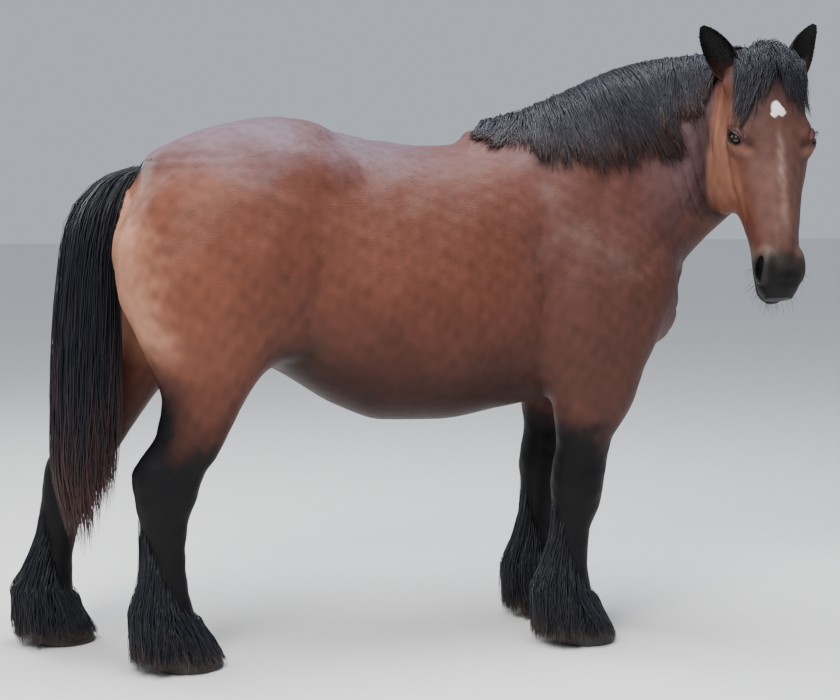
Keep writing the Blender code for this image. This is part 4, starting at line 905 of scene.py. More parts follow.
def body_colour(p, n, blur, head):
    """The markings of the trunk, neck and legs, with painted sheen and painted shade."""
    share, aside = NECK_FORM.place(p)
    x, y, z = p.T
    side = p[:, [0, 2]] + blur[:, None]
    body = 1 - head
    front = smooth(0.30, 0.62, x + blur) * body
    low = smooth(1.12, 0.74, z + blur) * smooth(-0.42, -0.15, x) * (1 - 0.6 * smooth(0.38, 0.52, x))
    rump = smooth(-0.25, -0.55, x + blur) * smooth(0.78, 0.95, z)
    buttock = smooth(-0.58, -0.72, x + 0.2 * (z - 1.1) + blur) * smooth(0.85, 1.0, z)
    # Painted sheen: mauve highlights on the shoulder, its point and the ribs: their middles and radii from
    # the side
    sheen_patches = (((0.52, 1.38), (0.060, 0.050)), ((0.60, 1.27), (0.080, 0.050)),
               ((0.73, 1.18), (0.075, 0.055)))
    # A grey sheen over the croup, loin and withers
    over = smooth(1.40, 1.61, z + 0.03 * n[:, 2] + 0.5 * blur) * body
    over *= (1 - 0.72 * smooth(0.08, 0.24, x + 2 * blur)) * (1 - 0.55 * np.exp(-((x + 0.19) / 0.07) ** 2))
    over *= smooth(0.70, 0.50, x)
    neck = smooth(0.45, 0.85, share) * smooth(1.10, 1.50, z) * body
    # Painted shadow on the neck where it tucks in behind the jaw
    jaw_shadow = smooth(0.10, 0.02, beyond_head(p)) * smooth(1.72, 1.55, z) * smooth(0.03, -0.03, aside)
    # Painted shade on the underside of the belly, where it faces down
    belly_shade = smooth(-0.35, -0.85, n[:, 2]) * smooth(0.6, 0.66, z) * body
    # Dark skin under the roots of the mane
    crest = np.interp(share, *NECK_FORM.top) - z
    fall = spline(column(MANE, 0), column(MANE, 1), np.clip(share, 0.06, 0.97))
    maned = smooth(0.70, 0.40, crest / fall) * smooth(0.12, 0.20, share) * smooth(0.04, 0.0, aside)
    # Black legs, higher at the back of the gaskin
    back = smooth(0.1, -0.9, n[:, 0])
    over_line = z - np.where(x > 0.1, 0.665 + 0.03 * back + blur, 0.640 + 0.16 * back + blur)
    return covered(
        np.tile(BAY, (len(p), 1)),
        (SHOULDER, 0.85 * front),
        (BAY_DARK, 0.85 * low),
        (BAY_BRIGHT, 0.70 * rump),
        (TAN, 0.80 * buttock),
        *((MAUVE_SHEEN, 0.42 * near(side, spot, size) * body) for spot, size in sheen_patches),
        (BAY_BRIGHT, 0.35 * near(side, (-0.02, 1.20), (0.16, 0.14))),
        (SHEEN, 0.62 * over),
        # Painted grey sheen on the upper neck
        (SHEEN * 0.65, 0.34 * neck),
        (BAY_DARK * 0.7, 0.80 * jaw_shadow * body),
        (FLANK_GREY, 0.75 * near(side, (-0.235, 0.885), (0.085, 0.070))),
        (BAY_DARK * 0.8, 0.85 * belly_shade),
        (BLACK, 0.92 * maned * body),
        (BAY_DARK, 0.8 * smooth(0.22, 0.02, over_line) * (x < 0.1)),
        (BLACK, 0.98 * smooth(0.060, -0.050, over_line)))


def face_colour(p, blur):
    """The head: bright cheek, tan round the eye, dark nose, a tan ring over the muzzle and a star, with
    painted shade over each eye and in the nostrils and a painted highlight on their rims.
    """
    down, brow, left = head_local(p).T
    eye_far, eye_high = eye_oval(p)
    cheek = smooth(-0.03, -0.13, brow) * smooth(0.50, 0.34, down)
    cheek *= 0.25 + 0.75 * smooth(0.04, 0.20, down + blur)
    ring = smooth(0.015, 0.050, np.abs(left)) * (0.4 + 0.6 * smooth(-0.04, -0.10, brow))
    rim = np.min([lump(p) for lump in nostrils()], axis=0)
    uneven = waves(p, 0.028, 12)
    streak = np.exp(-((left + 0.25 * blur) / 0.012) ** 2) * smooth(0.19, 0.29, down)
    streak *= smooth(0.60, 0.42, down)
    # The three lobes of the star: middle to the left and down, half width and half height
    lobes = ((-0.006, 0.162, 0.015, 0.020), (0.009, 0.174, 0.011, 0.013), (-0.015, 0.181, 0.010, 0.008))
    star = -np.log(1e-12 + sum(np.exp(-2.2 * (((left - a - 0.003 * uneven) / wide) ** 2
                                              + ((down - b + 0.003 * uneven) / tall) ** 2))
                               for a, b, wide, tall in lobes)) / 2.2
    under_lock = smooth(0.200, 0.040, down + blur) * smooth(0.085, 0.055, np.abs(left))
    under_lock *= smooth(1.0, 1.3, star)
    return covered(
        np.tile(BAY, (len(p), 1)),
        (TAN * 0.72, 0.60 * cheek),
        (NOSE, 0.80 * smooth(-0.085, -0.015, brow)),
        (BAY_DARK, 0.55 * smooth(0.36, 0.12, down + blur) * smooth(-0.07, -0.01, brow)),
        (TAN, 0.40 * smooth(2.6, 1.3, eye_far) * smooth(0.006, -0.020, eye_high)),
        # Painted shade on the fold above the eye
        (BAY_DARK * 0.8, 0.80 * smooth(2.3, 1.3, eye_far) * smooth(-0.004, 0.010, eye_high)),
        (SKIN_BLACK, 0.94 * smooth(1.15, 0.92, eye_far)),
        (BAY_DARK, 0.55 * smooth(0.48, 0.58, down + blur)),
        (PALE * 0.85, 0.75 * np.exp(-((down - 0.580 + 0.5 * blur) / 0.032) ** 2) * ring),
        (GREY_SKIN, 0.97 * smooth(0.560, 0.615, down + 0.35 * blur)),
        (SKIN_BLACK, 0.90 * smooth(0.610, 0.660, down + 0.35 * blur - 0.15 * brow)),
        # Painted highlight on the rims of the nostrils, and painted shade inside them
        (GREY_SKIN * 1.8, 0.50 * smooth(0.020, 0.008, rim)),
        (BLACK * 0.8, smooth(0.006, 0.001, rim)),
        (STREAK, (0.34 + 0.10 * uneven) * streak * smooth(-0.06, -0.02, brow)),
        (WHITE, 0.93 * smooth(1.20, 0.70, star) * smooth(-0.08, -0.02, brow)),
        (BLACK * 2, 0.85 * under_lock),
        (BAY_DARK, 0.5 * smooth(-0.22, -0.30, brow)))


def coat_colour(p, n):
    """The coat's markings, with painted sheen, highlights and shade, at points of the skin with their
    normals.
    """
    blur = 0.030 * waves(p, 0.20, 5) + 0.012 * waves(p, 0.05, 6)
    head = headness(p)
    down, brow, left = head_local(p).T
    # Roots of the forelock between the ears
    poll = smooth(0.075, 0.020, down + blur) * smooth(0.095, 0.070, np.abs(left))
    poll *= smooth(-0.24, -0.16, brow)
    colour = covered(body_colour(p, n, blur, head), (face_colour(p, blur), head),
                     (BLACK, 0.94 * poll * smooth(-0.20, -0.15, down)))
    grain = 1 + 0.10 * waves(p, 0.035, 8) + 0.06 * waves(p, 0.35, 9)
    return np.clip(colour * grain[:, None], 0.002, 0.95)


def lie(p, n):
    """The way that short hair points, along the skin."""
    share, _ = NECK_FORM.place(p)
    hx, hy = (np.interp(share, NECK_FORM.share, line) for line in NECK_FORM.heading.T)
    head = headness(p)
    leg = smooth(0.92, 0.74, p[:, 2])
    neck = smooth(0.55, 0.85, p[:, 0]) * (1 - leg)
    back = -0.45 + 0.5 * smooth(0.1, 0.9, n[:, 2])
    axes = np.array(head_axes())
    way = covered(np.stack([-np.ones(len(p)), np.zeros(len(p)), back], 1),
                  (np.array([-0.15, 0, -1.0]), leg),
                  (np.stack([-hx, -hy, np.full(len(p), -0.75)], 1), neck * (1 - head)),
                  (axes[0] - 0.35 * axes[1], head))
    way = way + 0.20 * np.stack([waves(p, 0.25, seed) for seed in (21, 22, 23)], 1)
    return unit(across_only(way, n))


def unwrap(p):
    """A place on the skin's own unwrap: the right and the left side laid out flat, one over the other."""
    u = (p[:, 0] + 1.30) / 2.75
    v = p[:, 2] / 2.0 * 0.48 + 0.01
    return np.stack([np.clip(u, 0.004, 0.996), np.where(p[:, 1] < 0, v, v + 0.5)], 1)


def material(name, colour_name=None, colour=None, rough=0.5, **settings):
    """A material that takes its colour from a named colour of the mesh, or has one colour."""
    made = bpy.data.materials.new(name)
    made.use_nodes = True
    nodes, links = made.node_tree.nodes, made.node_tree.links
    shader = nodes["Principled BSDF"]
    shader.inputs["Roughness"].default_value = rough
    for key, value in settings.items():
        shader.inputs[key.replace("_", " ")].default_value = value
    if colour_name:
        source = nodes.new("ShaderNodeAttribute")
        source.attribute_name = colour_name
        links.new(source.outputs["Color"], shader.inputs["Base Color"])
    else:
        shader.inputs["Base Color"].default_value = (*colour, 1)
    return made


def mesh_object(name, points, faces, finish, colours, uvs=None, rounded=True):
    """An object from arrays: points, faces of three or four corners in lists of one kind each."""
    mesh = bpy.data.meshes.new(name)
    kinds = [np.asarray(f, np.int32) for f in faces if len(f)]
    corners = np.concatenate([f.ravel() for f in kinds])
    sizes = np.concatenate([np.full(len(f), f.shape[1], np.int32) for f in kinds])
    mesh.vertices.add(len(points))
    mesh.vertices.foreach_set("co", (np.asarray(points) + SHIFT).astype(np.float32).ravel())
    mesh.loops.add(len(corners))
    mesh.loops.foreach_set("vertex_index", corners.astype(np.int32))
    mesh.polygons.add(len(sizes))
    mesh.polygons.foreach_set("loop_start", np.r_[0, np.cumsum(sizes)[:-1]].astype(np.int32))
    mesh.polygons.foreach_set("loop_total", sizes)
    mesh.update(calc_edges=True)
    layer = mesh.color_attributes.new("paint", "FLOAT_COLOR", "POINT")
    layer.data.foreach_set("color", np.c_[colours, np.ones(len(colours))].astype(np.float32).ravel())
    if uvs is not None:
        layer = mesh.uv_layers.new(name="OFBake")
        layer.data.foreach_set("uv", uvs[corners].astype(np.float32).ravel())
    mesh.polygons.foreach_set("use_smooth", np.full(len(sizes), rounded))
    mesh.materials.append(finish)
    made = bpy.data.objects.new(name, mesh)
    bpy.context.scene.collection.objects.link(made)
    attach(made, "root")
    return made


def tufts(lines, sides, widths, flat, colours):
    """Many tapered tufts at once: closed three-sided bars along lines of points.

    lines is (tufts, points, 3), sides the way across each, widths the width along each, flat how
    thin they are against their width, and colours their colour along each.
    """
    count, rings, _ = lines.shape
    ways = unit(np.gradient(lines, axis=1))
    across = unit(across_only(sides, ways))
    out = np.cross(across, ways)
    half = widths[:, :, None] / 2
    body = np.stack([lines - across * half, lines + across * half, lines + out * half * 2 * flat], 2)
    points = np.concatenate([body[:, :-1].reshape(count, -1, 3), lines[:, -1:]], 1)
    points[:, :, 2] = np.maximum(points[:, :, 2], FLOOR_GAP)
    each = points.shape[1]
    end = 3 * (rings - 2)
    quads = np.array([(3 * r + i, 3 * r + (i + 1) % 3, 3 * r + 3 + (i + 1) % 3, 3 * r + 3 + i)
                      for r in range(rings - 2) for i in range(3)], int).reshape(-1, 4)
    tris = np.array([(2, 1, 0)] + [(end + i, end + (i + 1) % 3, each - 1) for i in range(3)])
    first = (np.arange(count) * each)[:, None, None]
    faces = [(quads[None] + first).reshape(-1, 4), (tris[None] + first).reshape(-1, 3)]
    paint = np.concatenate([np.repeat(colours[:, :-1], 3, axis=1), colours[:, -1:]], 1).reshape(-1, 3)
    along = np.r_[np.repeat(np.arange(rings - 1), 3), rings - 1] / (rings - 1)
    turn = np.r_[np.tile([-0.5, 0.5, 0.0], rings - 1), 0.0]
    uvs = unwrap(lines[:, 0])[:, None] + TUFT_PATCH * np.stack([turn, along - 0.5], 1)[None]
    return points.reshape(-1, 3), faces, paint, np.clip(uvs, 0.0005, 0.9995).reshape(-1, 2)


def hair_object(name, finish, made, rounded=True):
    """An object of tufts, from the arguments of tufts()."""
    points, faces, paint, uvs = tufts(*made)
    return mesh_object(name, points, faces, finish, paint, uvs, rounded)


def march_many(starts, lead, lengths, steps, lift):
    """Many lines over the body at once: lead(points, share) leads them and lift(share) is their height."""
    place = np.array(starts, float)
    lines, ups = [], []
    for step in range(steps + 1):
        share = step / steps
        for _ in range(2):
            slope = NAKED.slope(place)
            up = unit(slope)
            off = NAKED(place) / np.maximum(np.linalg.norm(slope, axis=1), 0.4)
            place = place + up * np.clip(lift(share) - off, -0.03, 0.03)[:, None]
        lines.append(place)
        ups.append(up)
        way = unit(across_only(lead(place, share), up))
        place = place + way * (lengths / steps)[:, None]
    return np.stack(lines, 1), np.stack(ups, 1)


def combed(layer, rise, settled):
    """The height of strands over the skin along them: from just inside it up to their own layer."""

    def lift(along):
        if along == 0:
            return np.full(len(layer), -0.003)
        bow = rise * math.exp(-((along - 0.30) / 0.20) ** 2)
        return 0.002 + (layer + bow) * min(1, along / settled)

    return lift


def straight(roots, ways, lengths, shares):
    """Straight lines from their roots, each so long along its way, with points at the shares."""
    return roots[:, None] + ways[:, None] * (lengths[:, None] * shares)[:, :, None]


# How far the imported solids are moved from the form's own frame, read off an eye
eye_low, eye_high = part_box("eye_right")
SHIFT = (np.array(eye_low) + np.array(eye_high)) / 2 - eye_lump(-1, EYE_RADIUS).centre


def skin_parts():
    """The whole skin but for the ears: the body, and the head with finer patches at eyes, nose and mouth."""
    form = Form(skin_steps())
    eyes = [eye_lump(side, EYE_RADIUS).centre for side in (-1, 1)]
    muzzle = head_world(0.650, -0.095, 0)

    def by_eyes(p, size):
        return np.min([np.linalg.norm(p - eye, axis=1) for eye in eyes], axis=0) < size

    def by_muzzle(p, size):
        return np.linalg.norm(p - muzzle, axis=1) < size

    body = patch(NAKED, *BODY_BOX, BODY_CELL, lambda p: outside_head_space(p) > -PATCH_OVERLAP)
    head = patch(form, *HEAD_BOX, HEAD_CELL, lambda p: outside_head_space(p) < PATCH_OVERLAP)
    head = finer(form, *head, lambda p: by_eyes(p, 0.055) | by_muzzle(p, 0.115))
    head = finer(form, *head, lambda p: by_eyes(p, 0.042))
    return body, head


def ear_mesh(name):
    """Both walls of an ear, closed over its rim.

    Returns points, faces, which points are inside, the way that it opens, its foot and its axis.
    """
    base, tip, opening = EARS[name]
    foot = head_world(*base)
    along = head_world(*tip) - foot
    open_way = head_way(opening)
    open_way = open_way - along * (open_way @ along) / (along @ along)
    open_way /= np.linalg.norm(open_way)
    across = np.cross(along / np.linalg.norm(along), open_way)
    shares = np.linspace(EAR[0][0], 1.0, 40)
    halves, depths, spreads = (spline(column(EAR, 0), column(EAR, k), shares) for k in (1, 2, 3))
    arc = 21
    points, inner = [], []
    for share, half, depth, spread in zip(shares, halves, depths, spreads):
        centre = foot + along * share - open_way * 0.012 * math.sin(math.pi * max(share, 0))
        angles = np.radians(np.linspace(-spread, spread, arc))
        wall = min(EAR_WALL * 0.8, half * 0.35)
        for turns, inset in ((angles, 0.0), (angles[::-1], wall)):
            for turn in turns:
                rim = abs(turn) / math.radians(spread)
                thin = inset * (1 - 0.75 * rim ** 6)
                points.append(centre + across * (half - thin) * math.sin(turn)
                              - open_way * (depth - thin) * math.cos(turn))
                inner.append(inset > 0)
    points = np.array(points)
    faces = tube_faces(len(shares), 2 * arc)
    outer = faces.min(1) % (2 * arc) < arc - 1
    if (face_ways(points, faces) * -open_way).sum(1)[outer].sum() < 0:
        faces = faces[:, ::-1]
    return points, faces, np.array(inner), open_way, foot, along


def make_skin():
    """Joins the parts of the skin into one object and paints it. Returns what the coat grows from."""
    points, faces, paints, first = [], [], [], 0

    def add(spots, quads, paint):
        points.append(spots)
        faces.append(quads + first)
        paints.append(paint)
        return first + len(spots)

    for spots, quads in skin_parts():
        n = normals_of(spots, quads)
        spots = spots + n * (relief(spots, n) - COAT_DEPTH)[:, None]
        first = add(spots, quads, coat_colour(spots, n))
    grown = first
    for name in EARS:
        spots, quads, inner, *_ = ear_mesh(name)
        outside = mix(np.tile(BAY_DARK, (len(spots), 1)), BLACK, 0.55)
        paint = np.where(inner[:, None], SKIN_BLACK * 1.2, outside)
        paint = mix(paint, BAY * 0.7, 0.75 * smooth(-0.02, 0.05, head_local(spots)[:, 0]))
        first = add(spots, quads, paint)
    points, faces, paints = (np.concatenate(a) for a in (points, faces, paints))
    skin = mesh_object("skin", points, [faces], SKIN, paints, unwrap(points))
    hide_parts("head", "neck", "torso", "hindquarters", "ear_right", "ear_left",
                *[f"{pair}leg_{side}_{part}" for pair in ("fore", "hind") for side in ("right", "left")
                  for part in ("upper", "lower")])
    return points, faces[(faces < grown).all(1)]


def coat_tufts(points, faces, count):
    """Short tufts that lie along the skin, spread evenly by area.

    None grow on the lids, or anywhere lower than the lips along the line of the face.
    """
    area = np.linalg.norm(face_ways(points, faces), axis=1) / 2
    chosen = RNG.choice(len(faces), count, p=area / area.sum())
    u, v = RNG.uniform(size=(2, count, 1))
    c = points[faces[chosen]]
    roots = (c[:, 0] * (1 - u) + c[:, 1] * u) * (1 - v) + (c[:, 3] * (1 - u) + c[:, 2] * u) * v
    n = normals_of(points, faces)[faces[chosen, 0]]
    furred = (eye_oval(roots)[0] >= 1.0) & (head_local(roots)[:, 0] <= LIPS_DOWN)
    furred &= (n * NAKED.slope(roots)).sum(1) >= 0
    roots, n = roots[furred], n[furred]
    count = len(roots)
    head = headness(roots)
    low = smooth(0.62, 0.40, roots[:, 2])
    length = (0.014 + 0.010 * low - 0.007 * head) * RNG.uniform(0.7, 1.3, count)
    width = (0.0024 + 0.0004 * low - 0.0010 * head) * RNG.uniform(0.7, 1.2, count)
    stray = 0.10 * RNG.normal(size=(count, 3))
    way = lie(roots, n) + n * (0.03 + 0.08 * low)[:, None] + stray - 0.8 * n * (stray * n).sum(1)[:, None]
    way = unit(way)
    lines = straight(roots - n * 0.0004, way, length, np.array([0.0, 1.0]))
    sides = np.repeat(np.cross(way, n)[:, None], 2, axis=1)
    widths = np.repeat(width[:, None], 2, axis=1)
    base = coat_colour(roots, n) * RNG.uniform(0.76, 1.28, (count, 1))
    return lines, sides, widths, COAT_THICKNESS, np.clip(np.stack([base, base * 1.10], 1), 0, 0.9)


def strands(lines, ups, root_colour, tip_colour, width, tip_share, frizz):
    """Width, frizz and colour for long hair, from its lines: the arguments of tufts()."""
    count, rings, _ = lines.shape
    share = np.linspace(0, 1, rings)
    sides = np.cross(unit(np.gradient(lines, axis=1)), ups)
    phase = RNG.uniform(0, 2 * math.pi, (count, 1))
    wave = np.sin(phase + share * RNG.uniform(4, 11, (count, 1))) * frizz * share ** 0.8
    lines = lines + sides * wave[:, :, None] * RNG.uniform(0.3, 1.4, (count, 1, 1))
    widths = width * RNG.uniform(0.6, 1.25, (count, 1)) * (0.75 + 0.5 * share - 1.15 * share ** 4)
    widths *= np.minimum(1, 0.30 + 5 * share)
    sides = sides + ups * RNG.normal(0, 0.5, (count, 1, 1))
    tone = RNG.uniform(0.75, 1.35, (count, 1, 1))
    tips = smooth(tip_share - 0.25, 1.0, share[None, :] + RNG.uniform(-0.15, 0.15, (count, 1)))
    colours = (root_colour + (tip_colour - root_colour) * tips[:, :, None]) * tone
    return lines, sides, np.maximum(widths, 0.0003), HAIR_THICKNESS, np.clip(colours, 0, 0.9)


def gathered(lines, group, pull, sway):
    """Draws lines toward the middle of their group, more and more to their tips, and sways the group."""
    count, rings, _ = lines.shape
    share = np.linspace(0, 1, rings)
    made = lines.copy()
    for first in range(0, count, group):
        part = slice(first, min(first + group, count))
        guide = lines[part].mean(0)
        tight = pull * RNG.uniform(0.6, 1.2)
        made[part] += (guide - lines[part]) * np.clip(tight * share, 0, 0.9)[None, :, None]
        swing = np.sin(RNG.uniform(0, 6.3) + share * RNG.uniform(3, 8)) * share * sway
        made[part] += swing[:, None] * RNG.normal(size=3) * (1, 1, 0.2)
    return made


def mane_hair(count, first, last):
    """Strands from the crest that fall over the right side of the neck."""
    s = np.sort(RNG.uniform(first, last, count))
    reach = spline(column(MANE, 0), column(MANE, 1), s) * RNG.uniform(0.55, 1.08, count)
    along_neck = np.stack([s, 0 * s, 0 * s], 1)
    clump = waves(along_neck, 0.05, 31)
    lean = spline(column(MANE, 0), column(MANE, 2), s) + 0.22 * clump + 0.10 * RNG.normal(size=count)
    reach *= 1 + 0.12 * waves(along_neck, 0.03, 32)
    cx, cy, hx, hy = (np.interp(s, NECK_FORM.share, line) for line in
                      (*NECK_FORM.line.T, *NECK_FORM.heading.T))
    aside = RNG.uniform(-0.016, 0.020, count)
    starts = np.stack([cx - aside * hy, cy + aside * hx, np.interp(s, *NECK_FORM.top)], 1)
    layer = RNG.uniform(0.001, 0.016, count)
    rise = RNG.uniform(0.002, 0.014, count)

    def lead(place, along):
        over = 1.5 * (1 - along) ** 2
        return np.stack([lean * hx + over * hy, lean * hy - over * hx,
                         np.full(count, -0.9 if along else -0.05)], 1)

    lines, ups = march_many(starts, lead, reach + 0.02, 11, combed(layer, rise, settled=0.30))
    order = np.argsort(s + 0.012 * RNG.normal(size=count))
    lines, ups = gathered(lines[order], group=34, pull=0.75, sway=0.004), ups[order]
    return strands(lines, ups, MANE_BLACK, RUST * 0.6 + DUST * 0.20, width=0.0036, tip_share=0.95,
                   frizz=0.006)


def forelock_hair(count):
    """Strands from the poll that part over the star on the forehead."""
    axes = np.array(head_axes())
    spread = np.sort(RNG.uniform(-1, 1, count))
    places = zip(RNG.uniform(-0.050, 0.015, count), spread, RNG.uniform(-0.085, -0.015, count))
    starts = np.array([head_world(down, brow, 0.076 * aside) for down, aside, brow in places])
    parted = np.exp(-((spread - 0.02) / 0.22) ** 2)
    lock_of = np.floor((spread + 1) * 11).astype(int)
    longer, astray = RNG.uniform(0.70, 1.15, 22)[lock_of], RNG.normal(0, 0.10, 22)[lock_of]
    reach = (0.13 + 0.21 * RNG.uniform(0, 1, count) ** 1.3) * longer
    reach = np.maximum(reach - 0.04 * smooth(0.0, 0.5, spread) - 0.05 * parted, 0.08)
    layer = RNG.uniform(0.001, 0.015, count)
    rise = RNG.uniform(0.004, 0.016, count)

    def lead(place, along):
        part = 0.20 * np.minimum(spread, 0.3) + astray
        part = part + 0.18 * np.sign(spread) * (np.abs(spread) < 0.6) * (along > 0.30)
        return np.stack([np.ones(count), np.full(count, 0.8 if along < 0.25 else 0.0), part], 1) @ axes

    lines, ups = march_many(starts, lead, reach, 9, combed(layer, rise, settled=0.25))
    lines = gathered(lines, group=24, pull=0.8, sway=0.003)
    return strands(lines, ups, MANE_BLACK, NOSE * 0.30, width=0.0027, tip_share=0.95, frizz=0.006)


def tail_hair(count):
    """Strands that leave the dock and hang with the fall of the tail."""
    knots = np.linspace(0, 1, len(TAIL))
    root = RNG.uniform(0, 1, count) ** 0.9 * DOCK_SHARE
    turn = RNG.uniform(0, 2 * math.pi, count)
    order = np.lexsort((root, np.floor(turn * 3.2)))
    root, turn = root[order], turn[order]
    tip = 1.0 - 0.40 * RNG.uniform(0, 1, count) ** 1.2 - 0.08 * (np.cos(turn) > 0.5)
    spread = RNG.uniform(0.15, 1.0, count) ** 0.7
    along = np.linspace(0, 1, 15)[None]
    shares = root[:, None] + (tip - root)[:, None] * along
    fan = np.clip((shares - root[:, None]) / 0.16, 0, 1)
    reach = 0.62 + (spread[:, None] - 0.62) * fan
    x, y, z, wide, deep = (spline(knots, column(TAIL, k), shares.ravel()).reshape(shares.shape)
                           for k in range(5))
    fuller = 1 + 0.35 * np.exp(-((shares - 0.20) / 0.14) ** 2)
    wide, deep = wide * fuller, deep * fuller
    swing = turn[:, None] + 0.35 * along * RNG.normal(size=(count, 1))
    radial = np.stack([np.cos(swing), np.sin(swing), np.zeros_like(swing)], 2)
    lines = np.stack([x, y, z], 2) + radial * np.stack([deep, wide, deep], 2) * reach[:, :, None]
    flat = lines.reshape(-1, 3)
    for _ in range(2):
        flat = flat + unit(NAKED.slope(flat), 0.3) * np.clip(0.004 - NAKED(flat), 0, 0.05)[:, None]
    lines = gathered(flat.reshape(lines.shape), group=30, pull=0.60, sway=0.010)
    return strands(lines, radial, BLACK_SKY_SHEEN, RUST * 1.3 + BLACK_SKY_SHEEN, width=0.0042, tip_share=0.80,
                   frizz=0.012)


def feather_hair(stations, mirror, count):
    """Strands from the cannon and fetlock that fall over the hoof, fullest behind."""
    angles = RNG.vonmises(math.pi, 0.75, count) % (2 * math.pi)
    angles = angles[np.argsort(np.floor(angles * 5) + 0.3 * RNG.uniform(size=count))]
    lines, ups = [], []
    for angle in angles:
        behind = (1 - math.cos(angle)) / 2
        high = 0.090 + 0.050 * RNG.uniform() + (0.04 + 0.29 * behind ** 1.5) * RNG.uniform()
        low = RNG.uniform(0.003, 0.018) + 0.008 * (1 - behind) * RNG.uniform()
        if RNG.uniform() < 0.25:
            low += (high - low) * 0.45
        heights = np.linspace(high, low, 8)
        puff = (0.014 + 0.050 * behind ** 1.4) * RNG.uniform(0.15, 1.0)
        full = 0.003 + puff * np.clip((0.38 - heights) / 0.24, 0, 1)
        full[0] = -0.002
        line, up = feather_fall(stations, mirror, angle, heights, full)
        lines.append(line)
        ups.append(up)
    lines = gathered(np.array(lines), group=18, pull=0.6, sway=0.005)
    lines[:, :, 2] = np.maximum(lines[:, :, 2], 0.003)
    return strands(lines, np.array(ups), BLACK_SKY_SHEEN, DUST * 0.7, width=0.0040, tip_share=0.98, frizz=0.008)


def ear_hair(name, count):
    """Short strands from the rim and the inside of an ear."""
    points, _, inner, open_way, foot, axis = ear_mesh(name)
    size = np.linalg.norm(axis)
    along = axis / size
    below_tip = (points - foot) @ along < 0.90 * size
    picked = RNG.choice(np.flatnonzero(inner & below_tip), count)
    roots = points[picked] + 0.001 * RNG.normal(size=(count, 3))
    way = along + open_way * RNG.uniform(0.0, 0.35, (count, 1)) + 0.15 * RNG.normal(size=(count, 3))
    lines = straight(roots, unit(way), RNG.uniform(0.006, 0.014, count), np.linspace(0, 1, 4))
    ups = np.tile(open_way, (count, 4, 1))
    return strands(lines, ups, BLACK, BLACK * 1.5, width=0.0016, tip_share=0.9, frizz=0.001)


def lashes(side, count):
    """Dark hairs along the upper lid, pointing out and a little down."""
    roots = eye_arc(side, 0.0275, 0.0165, 25, 150, count)
    look, up = head_way(EYE_LOOK, side), head_way(EYE_UP, side)
    way = look + up * RNG.uniform(-0.1, 0.3, (count, 1)) + 0.25 * RNG.normal(size=(count, 3))
    steps = np.linspace(0, 1, 5)
    lines = straight(roots, way, RNG.uniform(0.004, 0.008, count), steps)
    lines -= up * (0.004 * steps ** 2)[None, :, None]
    ups = np.tile(up, (count, 5, 1))
    return strands(lines, ups, BLACK, BLACK, width=0.0008, tip_share=0.9, frizz=0.0005)


def feelers(points, faces, count):
    """Sparse stiff hairs on the lips and chin."""
    n = normals_of(points, faces)
    spots = head_local(points)
    muzzle = (spots[:, 0] > 0.615) & (spots[:, 1] < -0.07)
    muzzle &= np.linalg.norm(spots - MOUTH_MIDDLE, axis=1) < 0.15
    picked = RNG.choice(np.flatnonzero(muzzle & ((n * NAKED.slope(points)).sum(1) > 0.5)), count)
    down_face, brow, _ = head_axes()
    way = n[picked] + 0.5 * down_face + 0.15 * RNG.normal(size=(count, 3))
    steps = np.linspace(0, 1, 5)
    length = RNG.uniform(0.012, 0.034, count)
    lines = straight(points[picked], way, length, steps)
    lines += down_face * (length[:, None] * 0.3 * steps ** 2)[:, :, None]
    ups = np.tile(brow, (count, 5, 1))
    return strands(lines, ups, BLACK * 2, BLACK * 3, width=0.0007, tip_share=0.9, frizz=0.0005)


def eye_mesh(side, rows=40, around=56):
    """An eyeball with a slightly domed cornea, its pupil a level oval: points, faces and colours."""
    look = head_way(EYE_LOOK, side)
    level = np.cross(look, (0, 0, 1.0))
    level /= np.linalg.norm(level)
    high = np.cross(level, look)
    tilts, turns = np.meshgrid(np.linspace(0, math.pi, rows)[1:-1],
                               np.linspace(0, 2 * math.pi, around, endpoint=False), indexing="ij")
    a, b, c = (np.r_[0.0, v.ravel(), 0.0] for v in
               (np.sin(tilts) * np.cos(turns), np.sin(tilts) * np.sin(turns), np.cos(tilts)))
    c[0], c[-1] = 1.0, -1.0
    dome = 1 + 0.030 * smooth(0.70, 0.95, c)
    ways = np.outer(a, level) + np.outer(b, high) + np.outer(c, look)
    points = eye_lump(side, EYE_RADIUS).centre + ways * (EYE_RADIUS * dome)[:, None]
    away = np.hypot(a, b) + (c < 0) * 9
    pupil = np.hypot(a / 0.36, b / 0.19)
    colours = covered(np.tile(IRIS, (len(a), 1)), (IRIS_RIM, smooth(0.35, 0.62, away)),
                      (PUPIL, smooth(1.12, 0.92, pupil)), (EYE_EDGE, smooth(0.66, 0.74, away)))
    end = len(points) - 1
    last = end - around
    tris = np.array([(0, 1 + i, 1 + (i + 1) % around) for i in range(around)]
                    + [(end, last + (i + 1) % around, last + i) for i in range(around)])
    return points, [tube_faces(rows - 2, around, 1)[:, ::-1], tris], colours


def bump(finish, scale, strength, stretch):
    """Adds fine unevenness to a material, in the object's own coordinates."""
    nodes, links = finish.node_tree.nodes, finish.node_tree.links
    place = nodes.new("ShaderNodeTexCoord")
    turn = nodes.new("ShaderNodeMapping")
    turn.inputs["Scale"].default_value = stretch
    noise = nodes.new("ShaderNodeTexNoise")
    noise.inputs["Scale"].default_value = scale
    noise.inputs["Detail"].default_value = 3
    ridge = nodes.new("ShaderNodeBump")
    ridge.inputs["Strength"].default_value = strength
    ridge.inputs["Distance"].default_value = 0.002
    links.new(place.outputs["Object"], turn.inputs["Vector"])
    links.new(turn.outputs["Vector"], noise.inputs["Vector"])
    links.new(noise.outputs["Fac"], ridge.inputs["Height"])
    links.new(ridge.outputs["Normal"], nodes["Principled BSDF"].inputs["Normal"])
    return finish


def black_hair(name, made):
    """A piece of long hair, from the arguments of tufts()."""
    piece = hair_object(name, HAIR, made)
    return piece


